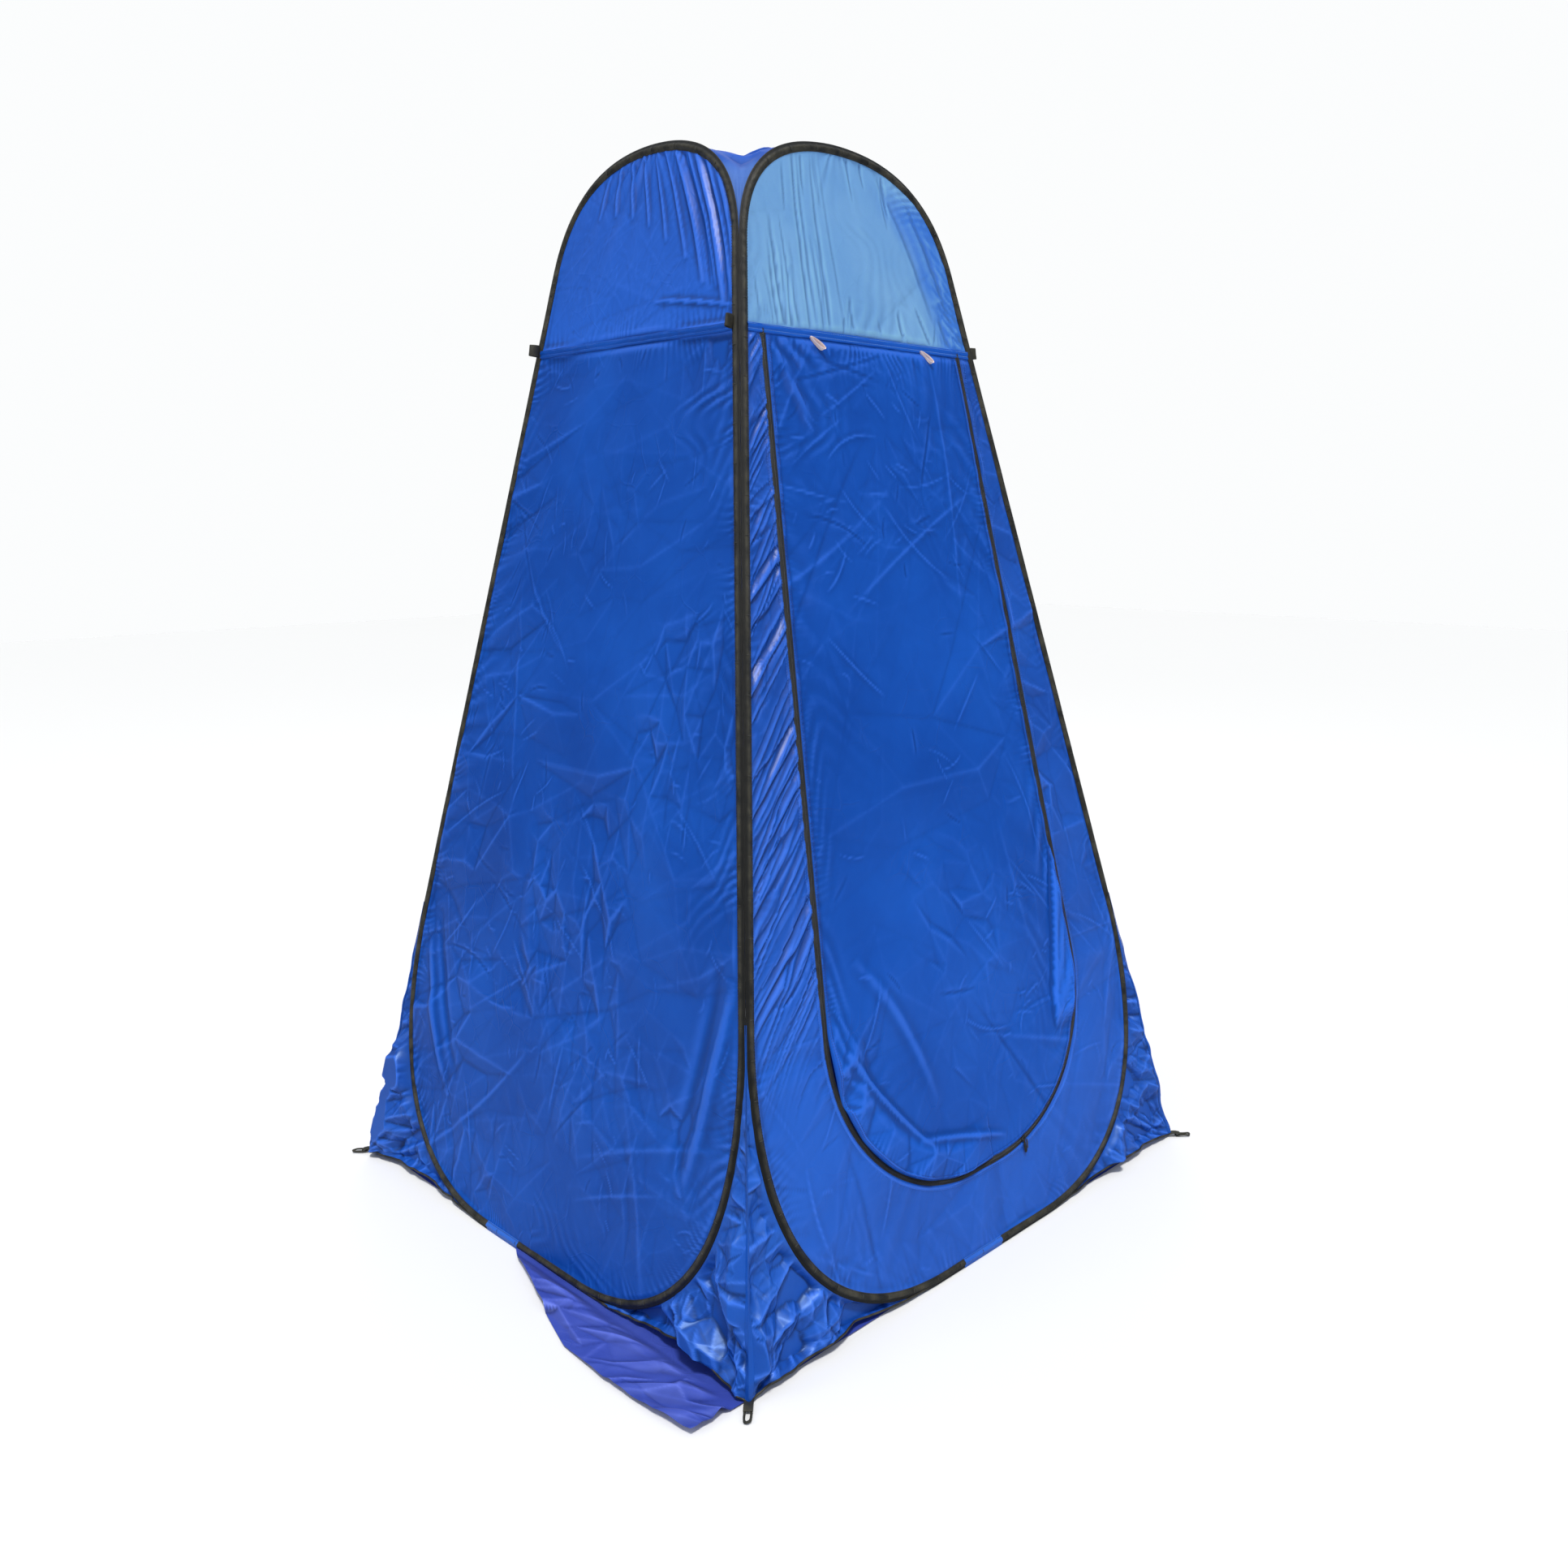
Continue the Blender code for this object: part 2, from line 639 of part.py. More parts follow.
def build_guy_loops():
    """Loops near the top of the side panels, standing out from the sleeve."""
    guy_u = (HALF_BASE - GUY_V * SIN) - GUY_FROM_SEAM
    stand_out = Matrix.Rotation(math.radians(90), 4, "X")   # outline lies in (u, w)
    for corner, side, sign in GUY_LOOPS:
        matrix = (panel_matrix(side) @ shift(sign * guy_u, GUY_V, SLEEVE_HALF_T + GAP)
                  @ stand_out)
        place(plate("guy_loop_" + corner, GUY_OUTLINE, matrix, GUY_WIDTH, [GUY_HOLE]),
              WEBBING, side + "_panel")


def build_peg_loops():
    """Flat loops pointing diagonally out of the base corners."""
    for corner, side, sign_x, sign_y in PEG_LOOPS:
        matrix = (shift(sign_x * HALF_BASE, sign_y * HALF_BASE, PEG_Z)
                  @ Matrix.Rotation(math.atan2(sign_y, sign_x), 4, "Z"))
        place(plate("peg_loop_" + corner, PEG_OUTLINE, matrix, PEG_T, [PEG_HOLE]),
              WEBBING, side + "_panel")


# ------------------------------------------------------------ build
fold_pitch = (DOOR_FIRST - ZIP_BOTTOM) / DOOR_FOLDS
door_fold_lines = [DOOR_FIRST - k * fold_pitch for k in range(DOOR_FOLDS)]

build_panel_bodies()
build_door_bodies(door_fold_lines)
for panel_side in SIDE_TURN:
    build_hoop(panel_side)
    build_panel_fabric(panel_side)
build_zip_tape()
build_door(door_fold_lines)
build_slider()
build_pull()
build_toggles()
build_roof()
build_groundsheet()
build_guy_loops()
build_peg_loops()
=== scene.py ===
# A tall, square pop-up tent. Four walls, each stretched in a closed sprung hoop, lean inwards
# from a square base and meet under a small domed roof. The base is centred on the origin and
# lies on z = 0; the front wall, with its zipped roll-up door, faces -Y and the right wall +X.
# Walls are drawn in panel coordinates: "across" from the panel's centre line (to the right as
# seen from outside), "high" up its slope, and "off" its plane, outwards. Everything is in metres.
import math
from functools import lru_cache, partial

import bpy
import numpy as np
from mathutils import Matrix, Vector
from mathutils.geometry import delaunay_2d_cdt


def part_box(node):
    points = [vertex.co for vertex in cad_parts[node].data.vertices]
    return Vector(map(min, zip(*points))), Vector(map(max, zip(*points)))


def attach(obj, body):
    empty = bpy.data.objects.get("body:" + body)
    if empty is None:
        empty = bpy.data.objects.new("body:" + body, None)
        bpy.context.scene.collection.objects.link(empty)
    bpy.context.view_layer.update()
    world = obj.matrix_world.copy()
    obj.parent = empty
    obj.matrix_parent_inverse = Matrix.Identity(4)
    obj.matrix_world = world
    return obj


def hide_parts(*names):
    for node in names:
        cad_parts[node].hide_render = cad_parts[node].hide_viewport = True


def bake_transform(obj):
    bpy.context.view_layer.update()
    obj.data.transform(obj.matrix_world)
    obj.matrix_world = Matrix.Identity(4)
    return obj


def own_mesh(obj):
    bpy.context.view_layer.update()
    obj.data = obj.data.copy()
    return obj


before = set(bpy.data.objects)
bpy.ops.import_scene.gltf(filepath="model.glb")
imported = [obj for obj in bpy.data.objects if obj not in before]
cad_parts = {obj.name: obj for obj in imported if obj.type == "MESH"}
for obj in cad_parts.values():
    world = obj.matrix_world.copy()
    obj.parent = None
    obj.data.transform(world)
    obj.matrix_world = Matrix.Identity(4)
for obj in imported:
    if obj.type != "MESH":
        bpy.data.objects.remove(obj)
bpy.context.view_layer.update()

# ------------------------------------------------------------------ driving dimensions
BASE_HALF = 0.600                       # half the side of the square base
LEAN = math.radians(11.32)              # how far each wall leans inwards
SIN, COS = math.sin(LEAN), math.cos(LEAN)
HOOP_TOP = 1.937
JOIN_LOW, JOIN_HIGH = 0.559, 1.755      # the hoops run side by side between these heights
LOW_FLAT, LOW_PULL, LOW_RISE = 0.145, 0.390, 0.400      # lower hoop corner: flat end, handles
TOP_RISE, TOP_PULL = 0.118, 0.153                       # top arc: handles
HOOP_INSET = 0.011                      # from the outline to the wire
SEAM = 1.6165                           # height of the cross seam
ZIP_FLAT, ZIP_BOTTOM = 0.040, 0.158     # half the zip's flat foot, and its height
ZIP_LEG_LOW, ZIP_LEG_HIGH = (0.335, 0.50), (0.238, 1.60)    # two points on the right leg
DOOR_FIRST, DOOR_FOLDS = 1.300, 5       # highest fold line of the rolled door, number of lines
DOOR_PITCH = (DOOR_FIRST - ZIP_BOTTOM) / DOOR_FOLDS
DOOR_LINES = [DOOR_FIRST - k * DOOR_PITCH for k in range(DOOR_FOLDS)]
PATCH_AT = {"front": -0.040, "left": -0.090, "right": -0.065, "back": -0.065}
PATCH_HALF = 0.050

SIDES = ("front", "left", "right", "back")
TURN = {"front": 0.0, "right": 90.0, "back": 180.0, "left": -90.0}
RELIEF_SEED = {"front": 11, "left": 23, "right": 37, "back": 51}
TRIM_SEED = {"front": 3, "left": 5, "right": 7, "back": 9}


def outward(side):
    turn = math.radians(TURN[side])
    return (math.sin(turn) * COS, -math.cos(turn) * COS, SIN)


NORMAL = {side: outward(side) for side in SIDES}


def to_world(side, across, high, off):
    """World points from panel coordinates."""
    across, high, off = np.broadcast_arrays(*(np.asarray(a, float) for a in (across, high, off)))
    x, y, z = across, -BASE_HALF + high * SIN - off * COS, high * COS + off * SIN
    turn = math.radians(TURN[side])
    cos, sin = math.cos(turn), math.sin(turn)
    return np.stack([cos * x - sin * y, sin * x + cos * y, z], -1)


# ------------------------------------------------------------------ curves in a panel's plane
def bezier(start, pull_start, pull_end, end, count):
    t = np.linspace(0, 1, count + 1)[:, None]
    start, pull_start, pull_end, end = map(np.asarray, (start, pull_start, pull_end, end))
    return ((1 - t) ** 3 * start + 3 * t * (1 - t) ** 2 * pull_start
            + 3 * t * t * (1 - t) * pull_end + t ** 3 * end)


def path_normals(path, closed):
    """Mitred normals to the left of travel."""
    if closed:
        before, after = np.roll(path, 1, 0), np.roll(path, -1, 0)
    else:
        before = np.vstack([2 * path[0] - path[1], path[:-1]])
        after = np.vstack([path[1:], 2 * path[-1] - path[-2]])
    came = (path - before) / np.maximum(np.linalg.norm(path - before, axis=1), 1e-9)[:, None]
    goes = (after - path) / np.maximum(np.linalg.norm(after - path, axis=1), 1e-9)[:, None]
    mean = came + goes
    mean /= np.linalg.norm(mean, axis=1)[:, None]
    normal = np.stack([-mean[:, 1], mean[:, 0]], 1)
    square = np.stack([-came[:, 1], came[:, 0]], 1)
    return normal / np.maximum(0.3, (normal * square).sum(1))[:, None]


def offset(path, distance, closed=True):
    return path + path_normals(path, closed) * distance


def arc_length(path):
    return np.concatenate([[0], np.cumsum(np.linalg.norm(np.diff(path, axis=0), axis=1))])


def even(path, count):
    """A number of points spaced evenly along a path."""
    arc = arc_length(path)
    at = np.linspace(0, arc[-1], count)
    return np.stack([np.interp(at, arc, path[:, k]) for k in range(2)], 1)


def resample(path, step, closed=False):
    """Points about a step apart along a path."""
    line = np.vstack([path, path[:1]]) if closed else path
    points = even(line, max(2, int(round(arc_length(line)[-1] / step))) + 1)
    return points[:-1] if closed else points


def mirrored(half):
    """Half an outline ending on the centre line, followed by its mirror image."""
    return np.vstack([half, (half * [-1, 1])[::-1][1:]])


def hoop_right(count=60):
    """Lower corner and top arc of the right half of a hoop's outline."""
    up_corner = np.array([-SIN, 1.0]) / math.hypot(SIN, 1.0)
    low = np.array([BASE_HALF - JOIN_LOW * SIN, JOIN_LOW])
    high = np.array([BASE_HALF - JOIN_HIGH * SIN, JOIN_HIGH])
    corner = bezier((LOW_FLAT, 0.0), (LOW_PULL, 0.0), low - up_corner * LOW_RISE, low, count)
    crown = bezier(high, high + up_corner * TOP_RISE, (TOP_PULL, HOOP_TOP), (0.0, HOOP_TOP), count)
    return corner, crown


CORNER, CROWN = hoop_right()
RIGHT_OUTLINE = np.vstack([[[0.0, 0.0]], CORNER, CROWN])
HALF_COUNT = len(RIGHT_OUTLINE)
CROWN_START = len(CORNER) + 1                       # first point of the free top arc
# closed, counter-clockwise from the bottom centre
HOOP = offset(mirrored(RIGHT_OUTLINE)[:-1], HOOP_INSET)
HOOP_RIGHT = HOOP[:HALF_COUNT]                      # a view: bottom centre to crown
HOOP_RIGHT[[0, -1], 0] = 0.0
HOOP_LOOP = np.vstack([HOOP, HOOP[:1]])
HOOP_FOOT = HOOP[0, 1]


def zip_curve():
    """The zip from the top of the right leg, round the foot and up the left leg. Its normals
    point away from the door."""
    low, high = np.array(ZIP_LEG_LOW), np.array(ZIP_LEG_HIGH)
    along = (high - low) / np.linalg.norm(high - low)
    out = np.array([along[1], -along[0]])
    radius = (out @ low - out[0] * ZIP_FLAT - out[1] * ZIP_BOTTOM) / (1 + out[1])
    centre = np.array([ZIP_FLAT, ZIP_BOTTOM + radius])
    foot = centre + out * radius
    head = foot + along * ((SEAM - foot[1]) / along[1])
    leg = np.linspace(head, foot, 60)[:-1]
    angle = np.linspace(math.atan2(out[1], out[0]), -math.pi / 2, 50)
    arc = np.stack([centre[0] + radius * np.cos(angle), centre[1] + radius * np.sin(angle)], 1)
    return mirrored(np.vstack([leg, arc, [[0.0, ZIP_BOTTOM]]])), centre, radius


ZIP, ZIP_CENTRE, ZIP_RADIUS = zip_curve()
ZIP_RIGHT = ZIP[:len(ZIP) // 2 + 1]


def half_width(right, high):
    """Half width at a height of a symmetric outline, given by its right half."""
    order = np.argsort(right[:, 1], kind="stable")
    return np.interp(high, right[order, 1], right[order, 0])


def near(path, across, high):
    """Distance to a path, and the arc position of its nearest point."""
    start = path[:-1]
    run = path[1:] - start
    square = np.maximum((run * run).sum(1), 1e-12)
    length, path_arc = np.sqrt(square), arc_length(path)
    points = np.stack([across.ravel(), high.ravel()], 1)
    gap, arc = np.empty(len(points)), np.empty(len(points))
    for i in range(0, len(points), 4000):
        batch = points[i:i + 4000]
        t = ((batch[:, None, 0] - start[None, :, 0]) * run[None, :, 0]
             + (batch[:, None, 1] - start[None, :, 1]) * run[None, :, 1]) / square
        t = np.clip(t, 0, 1)
        x = batch[:, None, 0] - (start[None, :, 0] + t * run[None, :, 0])
        y = batch[:, None, 1] - (start[None, :, 1] + t * run[None, :, 1])
        squares = x * x + y * y
        best = squares.argmin(1)
        row = np.arange(len(batch))
        gap[i:i + 4000] = np.sqrt(squares[row, best])
        arc[i:i + 4000] = path_arc[best] + t[row, best] * length[best]
    return gap.reshape(across.shape), arc.reshape(across.shape)


# ------------------------------------------------------------------ noise and cloth relief
def smooth(start, end, x):
    t = np.clip((x - start) / (end - start), 0, 1)
    return t * t * (3 - 2 * t)


@lru_cache(maxsize=None)
def noise_table(seed):
    return np.random.default_rng(seed).random((128, 128)) * 2 - 1


def noise(x, y, seed):
    """Smooth value noise between -1 and 1."""
    values = noise_table(seed)
    col, row = np.floor(x).astype(int), np.floor(y).astype(int)
    x, y = x - col, y - row
    x = x * x * x * (x * (x * 6 - 15) + 10)
    y = y * y * y * (y * (y * 6 - 15) + 10)
    near_low, near_high = values[col % 128, row % 128], values[(col + 1) % 128, row % 128]
    far_low = values[col % 128, (row + 1) % 128]
    far_high = values[(col + 1) % 128, (row + 1) % 128]
    return (near_low * (1 - x) + near_high * x) * (1 - y) + (far_low * (1 - x) + far_high * x) * y


def two_octaves(x, y, seed):
    return noise(x, y, seed) + 0.5 * noise(x * 2 + 17.3, y * 2 - 9.1, seed + 1)


@lru_cache(maxsize=None)
def crushed_sheet(seed, size, angle, stretch, box):
    """Scattered points with random heights, triangulated, in the sheet's own turned frame."""
    cos, sin = math.cos(angle), math.sin(angle)
    rng = np.random.default_rng(seed)
    ends = np.array([(x * cos + y * sin, (-x * sin + y * cos) / stretch)
                     for x in box[:2] for y in box[2:]])
    low, high = ends.min(0) - 1.6 * size, ends.max(0) + 1.6 * size
    cols, rows = (int(q) for q in np.ceil((high - low) / size))
    col, row = np.meshgrid(np.arange(cols + 1), np.arange(rows + 1), indexing="ij")
    jitter = rng.uniform(-0.44, 0.44, (2,) + col.shape)
    points = np.stack([low[0] + (col + 0.5 * (row % 2) + jitter[0]) * size,
                       low[1] + (row + jitter[1]) * size], -1).reshape(-1, 2)
    heights = rng.uniform(-1, 1, len(points))
    result = delaunay_2d_cdt([Vector(q) for q in points.tolist()], [], [], 0, 1e-7)
    source = np.array([q[0] for q in result[3]])
    return (np.array([tuple(q) for q in result[0]]), heights[source],
            np.array([q for q in result[2] if len(q) == 3]))


PANEL_BOX = (-0.72, 0.72, -0.10, 2.02)      # low and high x, low and high y of a wall's sheet


def crushed(x, y, seed, size, angle=0.0, stretch=1.0, box=PANEL_BOX):
    """Crushed-sheet relief: flat facets hung between scattered points, sharp folds between."""
    cos, sin = math.cos(angle), math.sin(angle)
    points, heights, triangles = crushed_sheet(seed, size, angle, stretch, box)
    x, y = np.broadcast_arrays(np.asarray(x, float), np.asarray(y, float))
    flat_x, flat_y = (x * cos + y * sin).ravel(), ((-x * sin + y * cos) / stretch).ravel()
    order = np.argsort(flat_y, kind="stable")
    sort_x, sort_y = flat_x[order], flat_y[order]
    corners = points[triangles]
    left, right = corners[:, :, 0].min(1), corners[:, :, 0].max(1)
    first = np.searchsorted(sort_y, corners[:, :, 1].min(1))
    last = np.searchsorted(sort_y, corners[:, :, 1].max(1), side="right")
    out = np.zeros(len(flat_x))
    touched = (last > first) & (right >= sort_x.min()) & (left <= sort_x.max())
    for k in np.nonzero(touched)[0]:
        span = sort_x[first[k]:last[k]]
        hit = np.nonzero((span >= left[k]) & (span <= right[k]))[0]
        if len(hit) == 0:
            continue
        hit = hit + first[k]
        (x1, y1), (x2, y2), (x3, y3) = corners[k]
        area = (y2 - y3) * (x1 - x3) + (x3 - x2) * (y1 - y3)
        if abs(area) < 1e-14:
            continue
        part1 = ((y2 - y3) * (sort_x[hit] - x3) + (x3 - x2) * (sort_y[hit] - y3)) / area
        part2 = ((y3 - y1) * (sort_x[hit] - x3) + (x1 - x3) * (sort_y[hit] - y3)) / area
        part3 = 1 - part1 - part2
        inside = (part1 > -1e-7) & (part2 > -1e-7) & (part3 > -1e-7)
        high1, high2, high3 = heights[triangles[k]]
        out[hit[inside]] = (part1 * high1 + part2 * high2 + part3 * high3)[inside]
    back = np.empty_like(out)
    back[order] = out
    return back.reshape(x.shape) * size


def drawn(gap, arc, pitch, height, seed, skew):
    """Taut folds slanting away from a seam: broad on one flank, tight on the other."""
    phase = (arc + skew * gap) / pitch
    phase = (phase + 1.1 * noise(phase * 0.31, gap * 9, seed)
             + 0.35 * noise(phase * 0.9, gap * 20, seed + 2))
    whole = np.floor(phase)
    part = phase - whole
    ramp = np.where(part < 0.70, part / 0.70, (1 - part) / 0.30)
    size = np.clip(0.45 + 1.1 * noise(whole * 0.71 + 3, gap * 6 + whole * 0.37, seed + 1),
                   0.05, 1.4)
    return height * size * (ramp * ramp * (3 - 2 * ramp) - 0.5)


def gathers(gap, arc, pitch, reach, height, seed, skew=0.0):
    """Small regular waves that run off a sewn edge."""
    phase = (arc + skew * gap) / pitch
    phase = phase + 1.5 * noise(phase * 0.23, gap * 14, seed)
    size = 0.35 + 0.95 * noise(phase * 0.29 + 3, 0.5, seed + 1)
    return height * np.clip(size, 0, 2) * np.sin(2 * np.pi * phase) * np.exp(-gap / reach)


def fold(across, high, start, end, width, height, bow=0.0, sharp=1.0):
    """A single soft fold from start to end, bowed sideways."""
    run_x, run_y = end[0] - start[0], end[1] - start[1]
    length = math.hypot(run_x, run_y)
    run_x, run_y = run_x / length, run_y / length
    along = (across - start[0]) * run_x + (high - start[1]) * run_y
    bulge = bow * np.clip(4 * along * (length - along) / (length * length), 0, 1)
    beside = -(across - start[0]) * run_y + (high - start[1]) * run_x - bulge
    part = along / length
    fall = np.where((part > 0) & (part < 1), np.sin(np.pi * np.clip(part, 0, 1)) ** 0.7, 0.0)
    return height * fall * np.exp(-(np.abs(beside) / width) ** (1.0 + sharp))


def folds(across, high, table):
    return sum(fold(across, high, *row) for row in table)


def creases(across, high, seed, count, lengths, width, height, chance):
    """Short fine creases scattered over a panel, kept by chance(across, high)."""
    rng = np.random.default_rng(seed)
    flat_x, flat_y = across.ravel(), high.ravel()
    left, right, low, top = flat_x.min(), flat_x.max(), flat_y.min(), flat_y.max()
    out = np.zeros(len(flat_x))
    for _ in range(count):
        x, y = rng.uniform(left, right), rng.uniform(low, top)
        weight, angle = rng.random(), rng.normal(0, 1) * 2.5
        length = rng.uniform(*lengths)
        wide = width * rng.uniform(0.7, 1.4)
        tall = height * rng.uniform(0.35, 1.0) * (1 if rng.random() < 0.72 else -1)
        bow = rng.normal(0, 0.06) * length
        if weight > chance(x, y):
            continue
        cos, sin = math.cos(angle), math.sin(angle)
        along = (flat_x - x) * cos + (flat_y - y) * sin
        beside = -(flat_x - x) * sin + (flat_y - y) * cos
        hit = (np.abs(along) < length / 2) & (np.abs(beside) < 4 * wide + abs(bow))
        if not hit.any():
            continue
        part = 2 * along[hit] / length
        bowed = beside[hit] - bow * (1 - part * part)
        out[hit] += tall * (1 - part * part) * np.exp(-(np.abs(bowed) / wide) ** 1.3)
    return out.reshape(across.shape)


def highpass(height):
    """How far each point stands off its neighbourhood: ridges up, valleys down."""
    blur = height.copy()
    for _ in range(3):
        pad = np.pad(blur, 1, mode="edge")
        blur = (pad[:-2, 1:-1] + pad[2:, 1:-1] + pad[1:-1, :-2] + pad[1:-1, 2:]
                + 2 * pad[1:-1, 1:-1]) / 6
    return height - blur


# ------------------------------------------------------------------ mesh helpers
def face_grid(rows, cols, flip=False):
    i = np.arange((rows - 1) * (cols - 1))
    first = i // (cols - 1) * cols + i % (cols - 1)
    faces = np.stack([first, first + 1, first + cols + 1, first + cols], 1)
    return faces[:, ::-1] if flip else faces


def ring_faces(rows, cols, closed_rows):
    """Faces of a tube: columns wrap round, rows wrap when closed."""
    row, col = np.meshgrid(np.arange(rows if closed_rows else rows - 1), np.arange(cols),
                           indexing="ij")
    next_row, next_col = (row + 1) % rows, (col + 1) % cols
    return np.stack([row * cols + col, next_row * cols + col,
                     next_row * cols + next_col, row * cols + next_col], -1).reshape(-1, 4)


def repeated(faces, count, size=16):
    """The faces of one small piece, repeated for count pieces of size points."""
    return (faces[None] + (np.arange(count) * size)[:, None, None]).reshape(-1, 4)


def join(pieces):
    points, faces, total = [], [], 0
    for piece_points, piece_faces in pieces:
        piece_points = piece_points.reshape(-1, 3)
        points.append(piece_points)
        faces.append(piece_faces + total)
        total += len(piece_points)
    return np.vstack(points), np.vstack(faces)


def vertex_normals(points, faces):
    normal = np.cross(points[faces[:, 2]] - points[faces[:, 0]],
                      points[faces[:, 3]] - points[faces[:, 1]])
    out = np.zeros_like(points)
    for k in range(4):
        np.add.at(out, faces[:, k], normal)
    return out / np.maximum(np.linalg.norm(out, axis=1), 1e-12)[:, None]


def build(name, points, faces, material, uv=None, normals=None, wear=None, tone=None):
    """A smooth-shaded mesh. Its ridge-and-valley mask gives the relief's ridges a painted
    highlight, with pale crease wear, and its valleys painted shade; tone blends in a second colour.
    """
    mesh = bpy.data.meshes.new(name)
    points = np.asarray(points, np.float32).reshape(-1, 3)
    faces = np.asarray(faces, np.int32)
    mesh.vertices.add(len(points))
    mesh.vertices.foreach_set("co", points.ravel())
    mesh.loops.add(faces.size)
    mesh.loops.foreach_set("vertex_index", faces.ravel())
    mesh.polygons.add(len(faces))
    mesh.polygons.foreach_set("loop_start", np.arange(0, faces.size, 4, dtype=np.int32))
    if uv is not None:
        uv = np.asarray(uv, np.float32).reshape(-1, 2)
        mesh.uv_layers.new(name="UVMap").data.foreach_set("uv", uv[faces.ravel()].ravel())
    for label, values, low in (("wear", wear, -1), ("tone", tone, 0)):
        if values is not None:
            values = np.clip(np.asarray(values, np.float32).ravel(), low, 1)
            mesh.attributes.new(label, "FLOAT", "POINT").data.foreach_set("value", values)
    mesh.update(calc_edges=True)
    mesh.validate()
    mesh.polygons.foreach_set("use_smooth", np.full(len(mesh.polygons), True))
    if normals is not None:
        mesh.normals_split_custom_set_from_vertices([tuple(n) for n in normals.reshape(-1, 3)])
    mesh.materials.append(material)
    obj = bpy.data.objects.new(name, mesh)
    bpy.context.scene.collection.objects.link(obj)
    return obj


def build_cloth(name, side, across, high, off, material, flip=False, **looks):
    """A grid of cloth given in panel coordinates, which are also its UV map."""
    return build(name, to_world(side, across, high, off), face_grid(*across.shape, flip),
                 material, np.stack([across, high], -1), **looks)


def flatten(obj, side, keep, high=0.8, off=0.0):
    """Give the piece its own copy of its mesh."""
    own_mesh(obj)


def mount(obj, body, replaces=None, folding=None):
    """Fix a piece to its moving body. folding holds flatten's arguments."""
    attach(obj, body)
    if folding:
        flatten(obj, *folding)
    if replaces:
        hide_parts(replaces)


def sweep(side, path, profile, closed, out_scale=1.0, off_scale=1.0):
    """A profile (outwards in the plane, off the plane) swept along a path, as rows of rings."""
    normal = -path_normals(path, closed)
    out = profile[None, :, 0] * out_scale
    return to_world(side, path[:, 0:1] + normal[:, 0:1] * out,
                    path[:, 1:2] + normal[:, 1:2] * out, profile[None, :, 1] * off_scale)


# One stitch is four rings of four points whose ends dive into the cloth.
DASH_RING = np.array([[-1, -0.6], [-0.6, 1], [0.6, 1], [1, -0.6]])      # sideways, upwards
DASH_ROWS = ((-1.0, -0.6, 0.55), (-0.55, 0.9, 1.0), (0.55, 0.9, 1.0), (1.0, -0.6, 0.55))
#            along, rise, size
DASH_FACES = np.vstack([np.roll(ring_faces(4, 4, False), -1, axis=1),
                        [[1, 2, 3, 0], [15, 14, 13, 12]]])


def dashes(side, path, inset, off, pitch, length, wide, tall, seed, relief=None, slant=0.0,
           limit=None):
    """A row of sewn stitches along a path. inset moves the row to the right of travel."""
    line = offset(path, -inset, False) if inset else path
    arc = arc_length(line)
    at = (np.arange(int(arc[-1] / pitch)) + 0.5) * pitch
    x, y = np.interp(at, arc, line[:, 0]), np.interp(at, arc, line[:, 1])
    ahead_x, ahead_y = (np.interp(at + 1e-3, arc, line[:, k]) for k in range(2))
    along = np.stack([ahead_x - x, ahead_y - y], 1)
    kept = np.linalg.norm(along, axis=1) > 1e-6
    x, y, along = x[kept], y[kept], along[kept]
    if limit is not None:
        kept = limit(x, y)
        x, y, along = x[kept], y[kept], along[kept]
    along /= np.linalg.norm(along, axis=1)[:, None]
    angle = slant + np.random.default_rng(seed).normal(0, 0.06, len(x))
    cos, sin = np.cos(angle), np.sin(angle)
    along = np.stack([along[:, 0] * cos - along[:, 1] * sin,
                      along[:, 0] * sin + along[:, 1] * cos], 1)
    aside = np.stack([-along[:, 1], along[:, 0]], 1)
    base = (relief(x, y) if relief is not None else np.zeros(len(x))) + off
    points = []
    for step, rise, size in DASH_ROWS:
        for shift, lift in DASH_RING:
            flat = [centre + along[:, k] * step * length / 2 + aside[:, k] * shift * wide / 2 * size
                    for k, centre in enumerate((x, y))]
            points.append((*flat, base + tall * (rise * 0.5 + lift * 0.5 * size)))
    across, high, height = (np.stack(part, 1) for part in zip(*points))
    return to_world(side, across, high, height).reshape(-1, 3), repeated(DASH_FACES, len(x))


# ------------------------------------------------------------------ materials
def add_node(tree, kind, inputs=None, **settings):
    """Add a shader node; inputs are values, or sockets to link. Returns its outputs."""
    made = tree.nodes.new("ShaderNode" + kind)
    for setting, value in settings.items():
        setattr(made, setting, value)
    for key, value in (inputs or {}).items():
        if isinstance(value, bpy.types.NodeSocket):
            tree.links.new(value, made.inputs[key])
        else:
            made.inputs[key].default_value = value
    return made.outputs


def new_material(name):
    material = bpy.data.materials.new(name)
    material.use_nodes = True
    material.node_tree.nodes.clear()
    return material, partial(add_node, material.node_tree)


def colour_ramp(material, factor, stops):
    """stops are (position, colour): the two ends first, then any between."""
    tree = material.node_tree
    ramp = tree.nodes.new("ShaderNodeValToRGB")
    elements = ramp.color_ramp.elements
    for i, (position, colour) in enumerate(stops):
        element = elements[i] if i < 2 else elements.new(position)
        element.position = position
        element.color = (*colour, 1)
    tree.links.new(factor, ramp.inputs["Fac"])
    return ramp.outputs["Color"]


def mix_colour(add, factor, first, second, **settings):
    return add("Mix", {"Factor": factor, "A": first, "B": second},
               data_type="RGBA", **settings)["Result"]


def bump(add, height, strength, distance, under=None):
    inputs = {"Height": height, "Strength": strength, "Distance": distance}
    if under is not None:
        inputs["Normal"] = under
    return add("Bump", inputs)["Normal"]


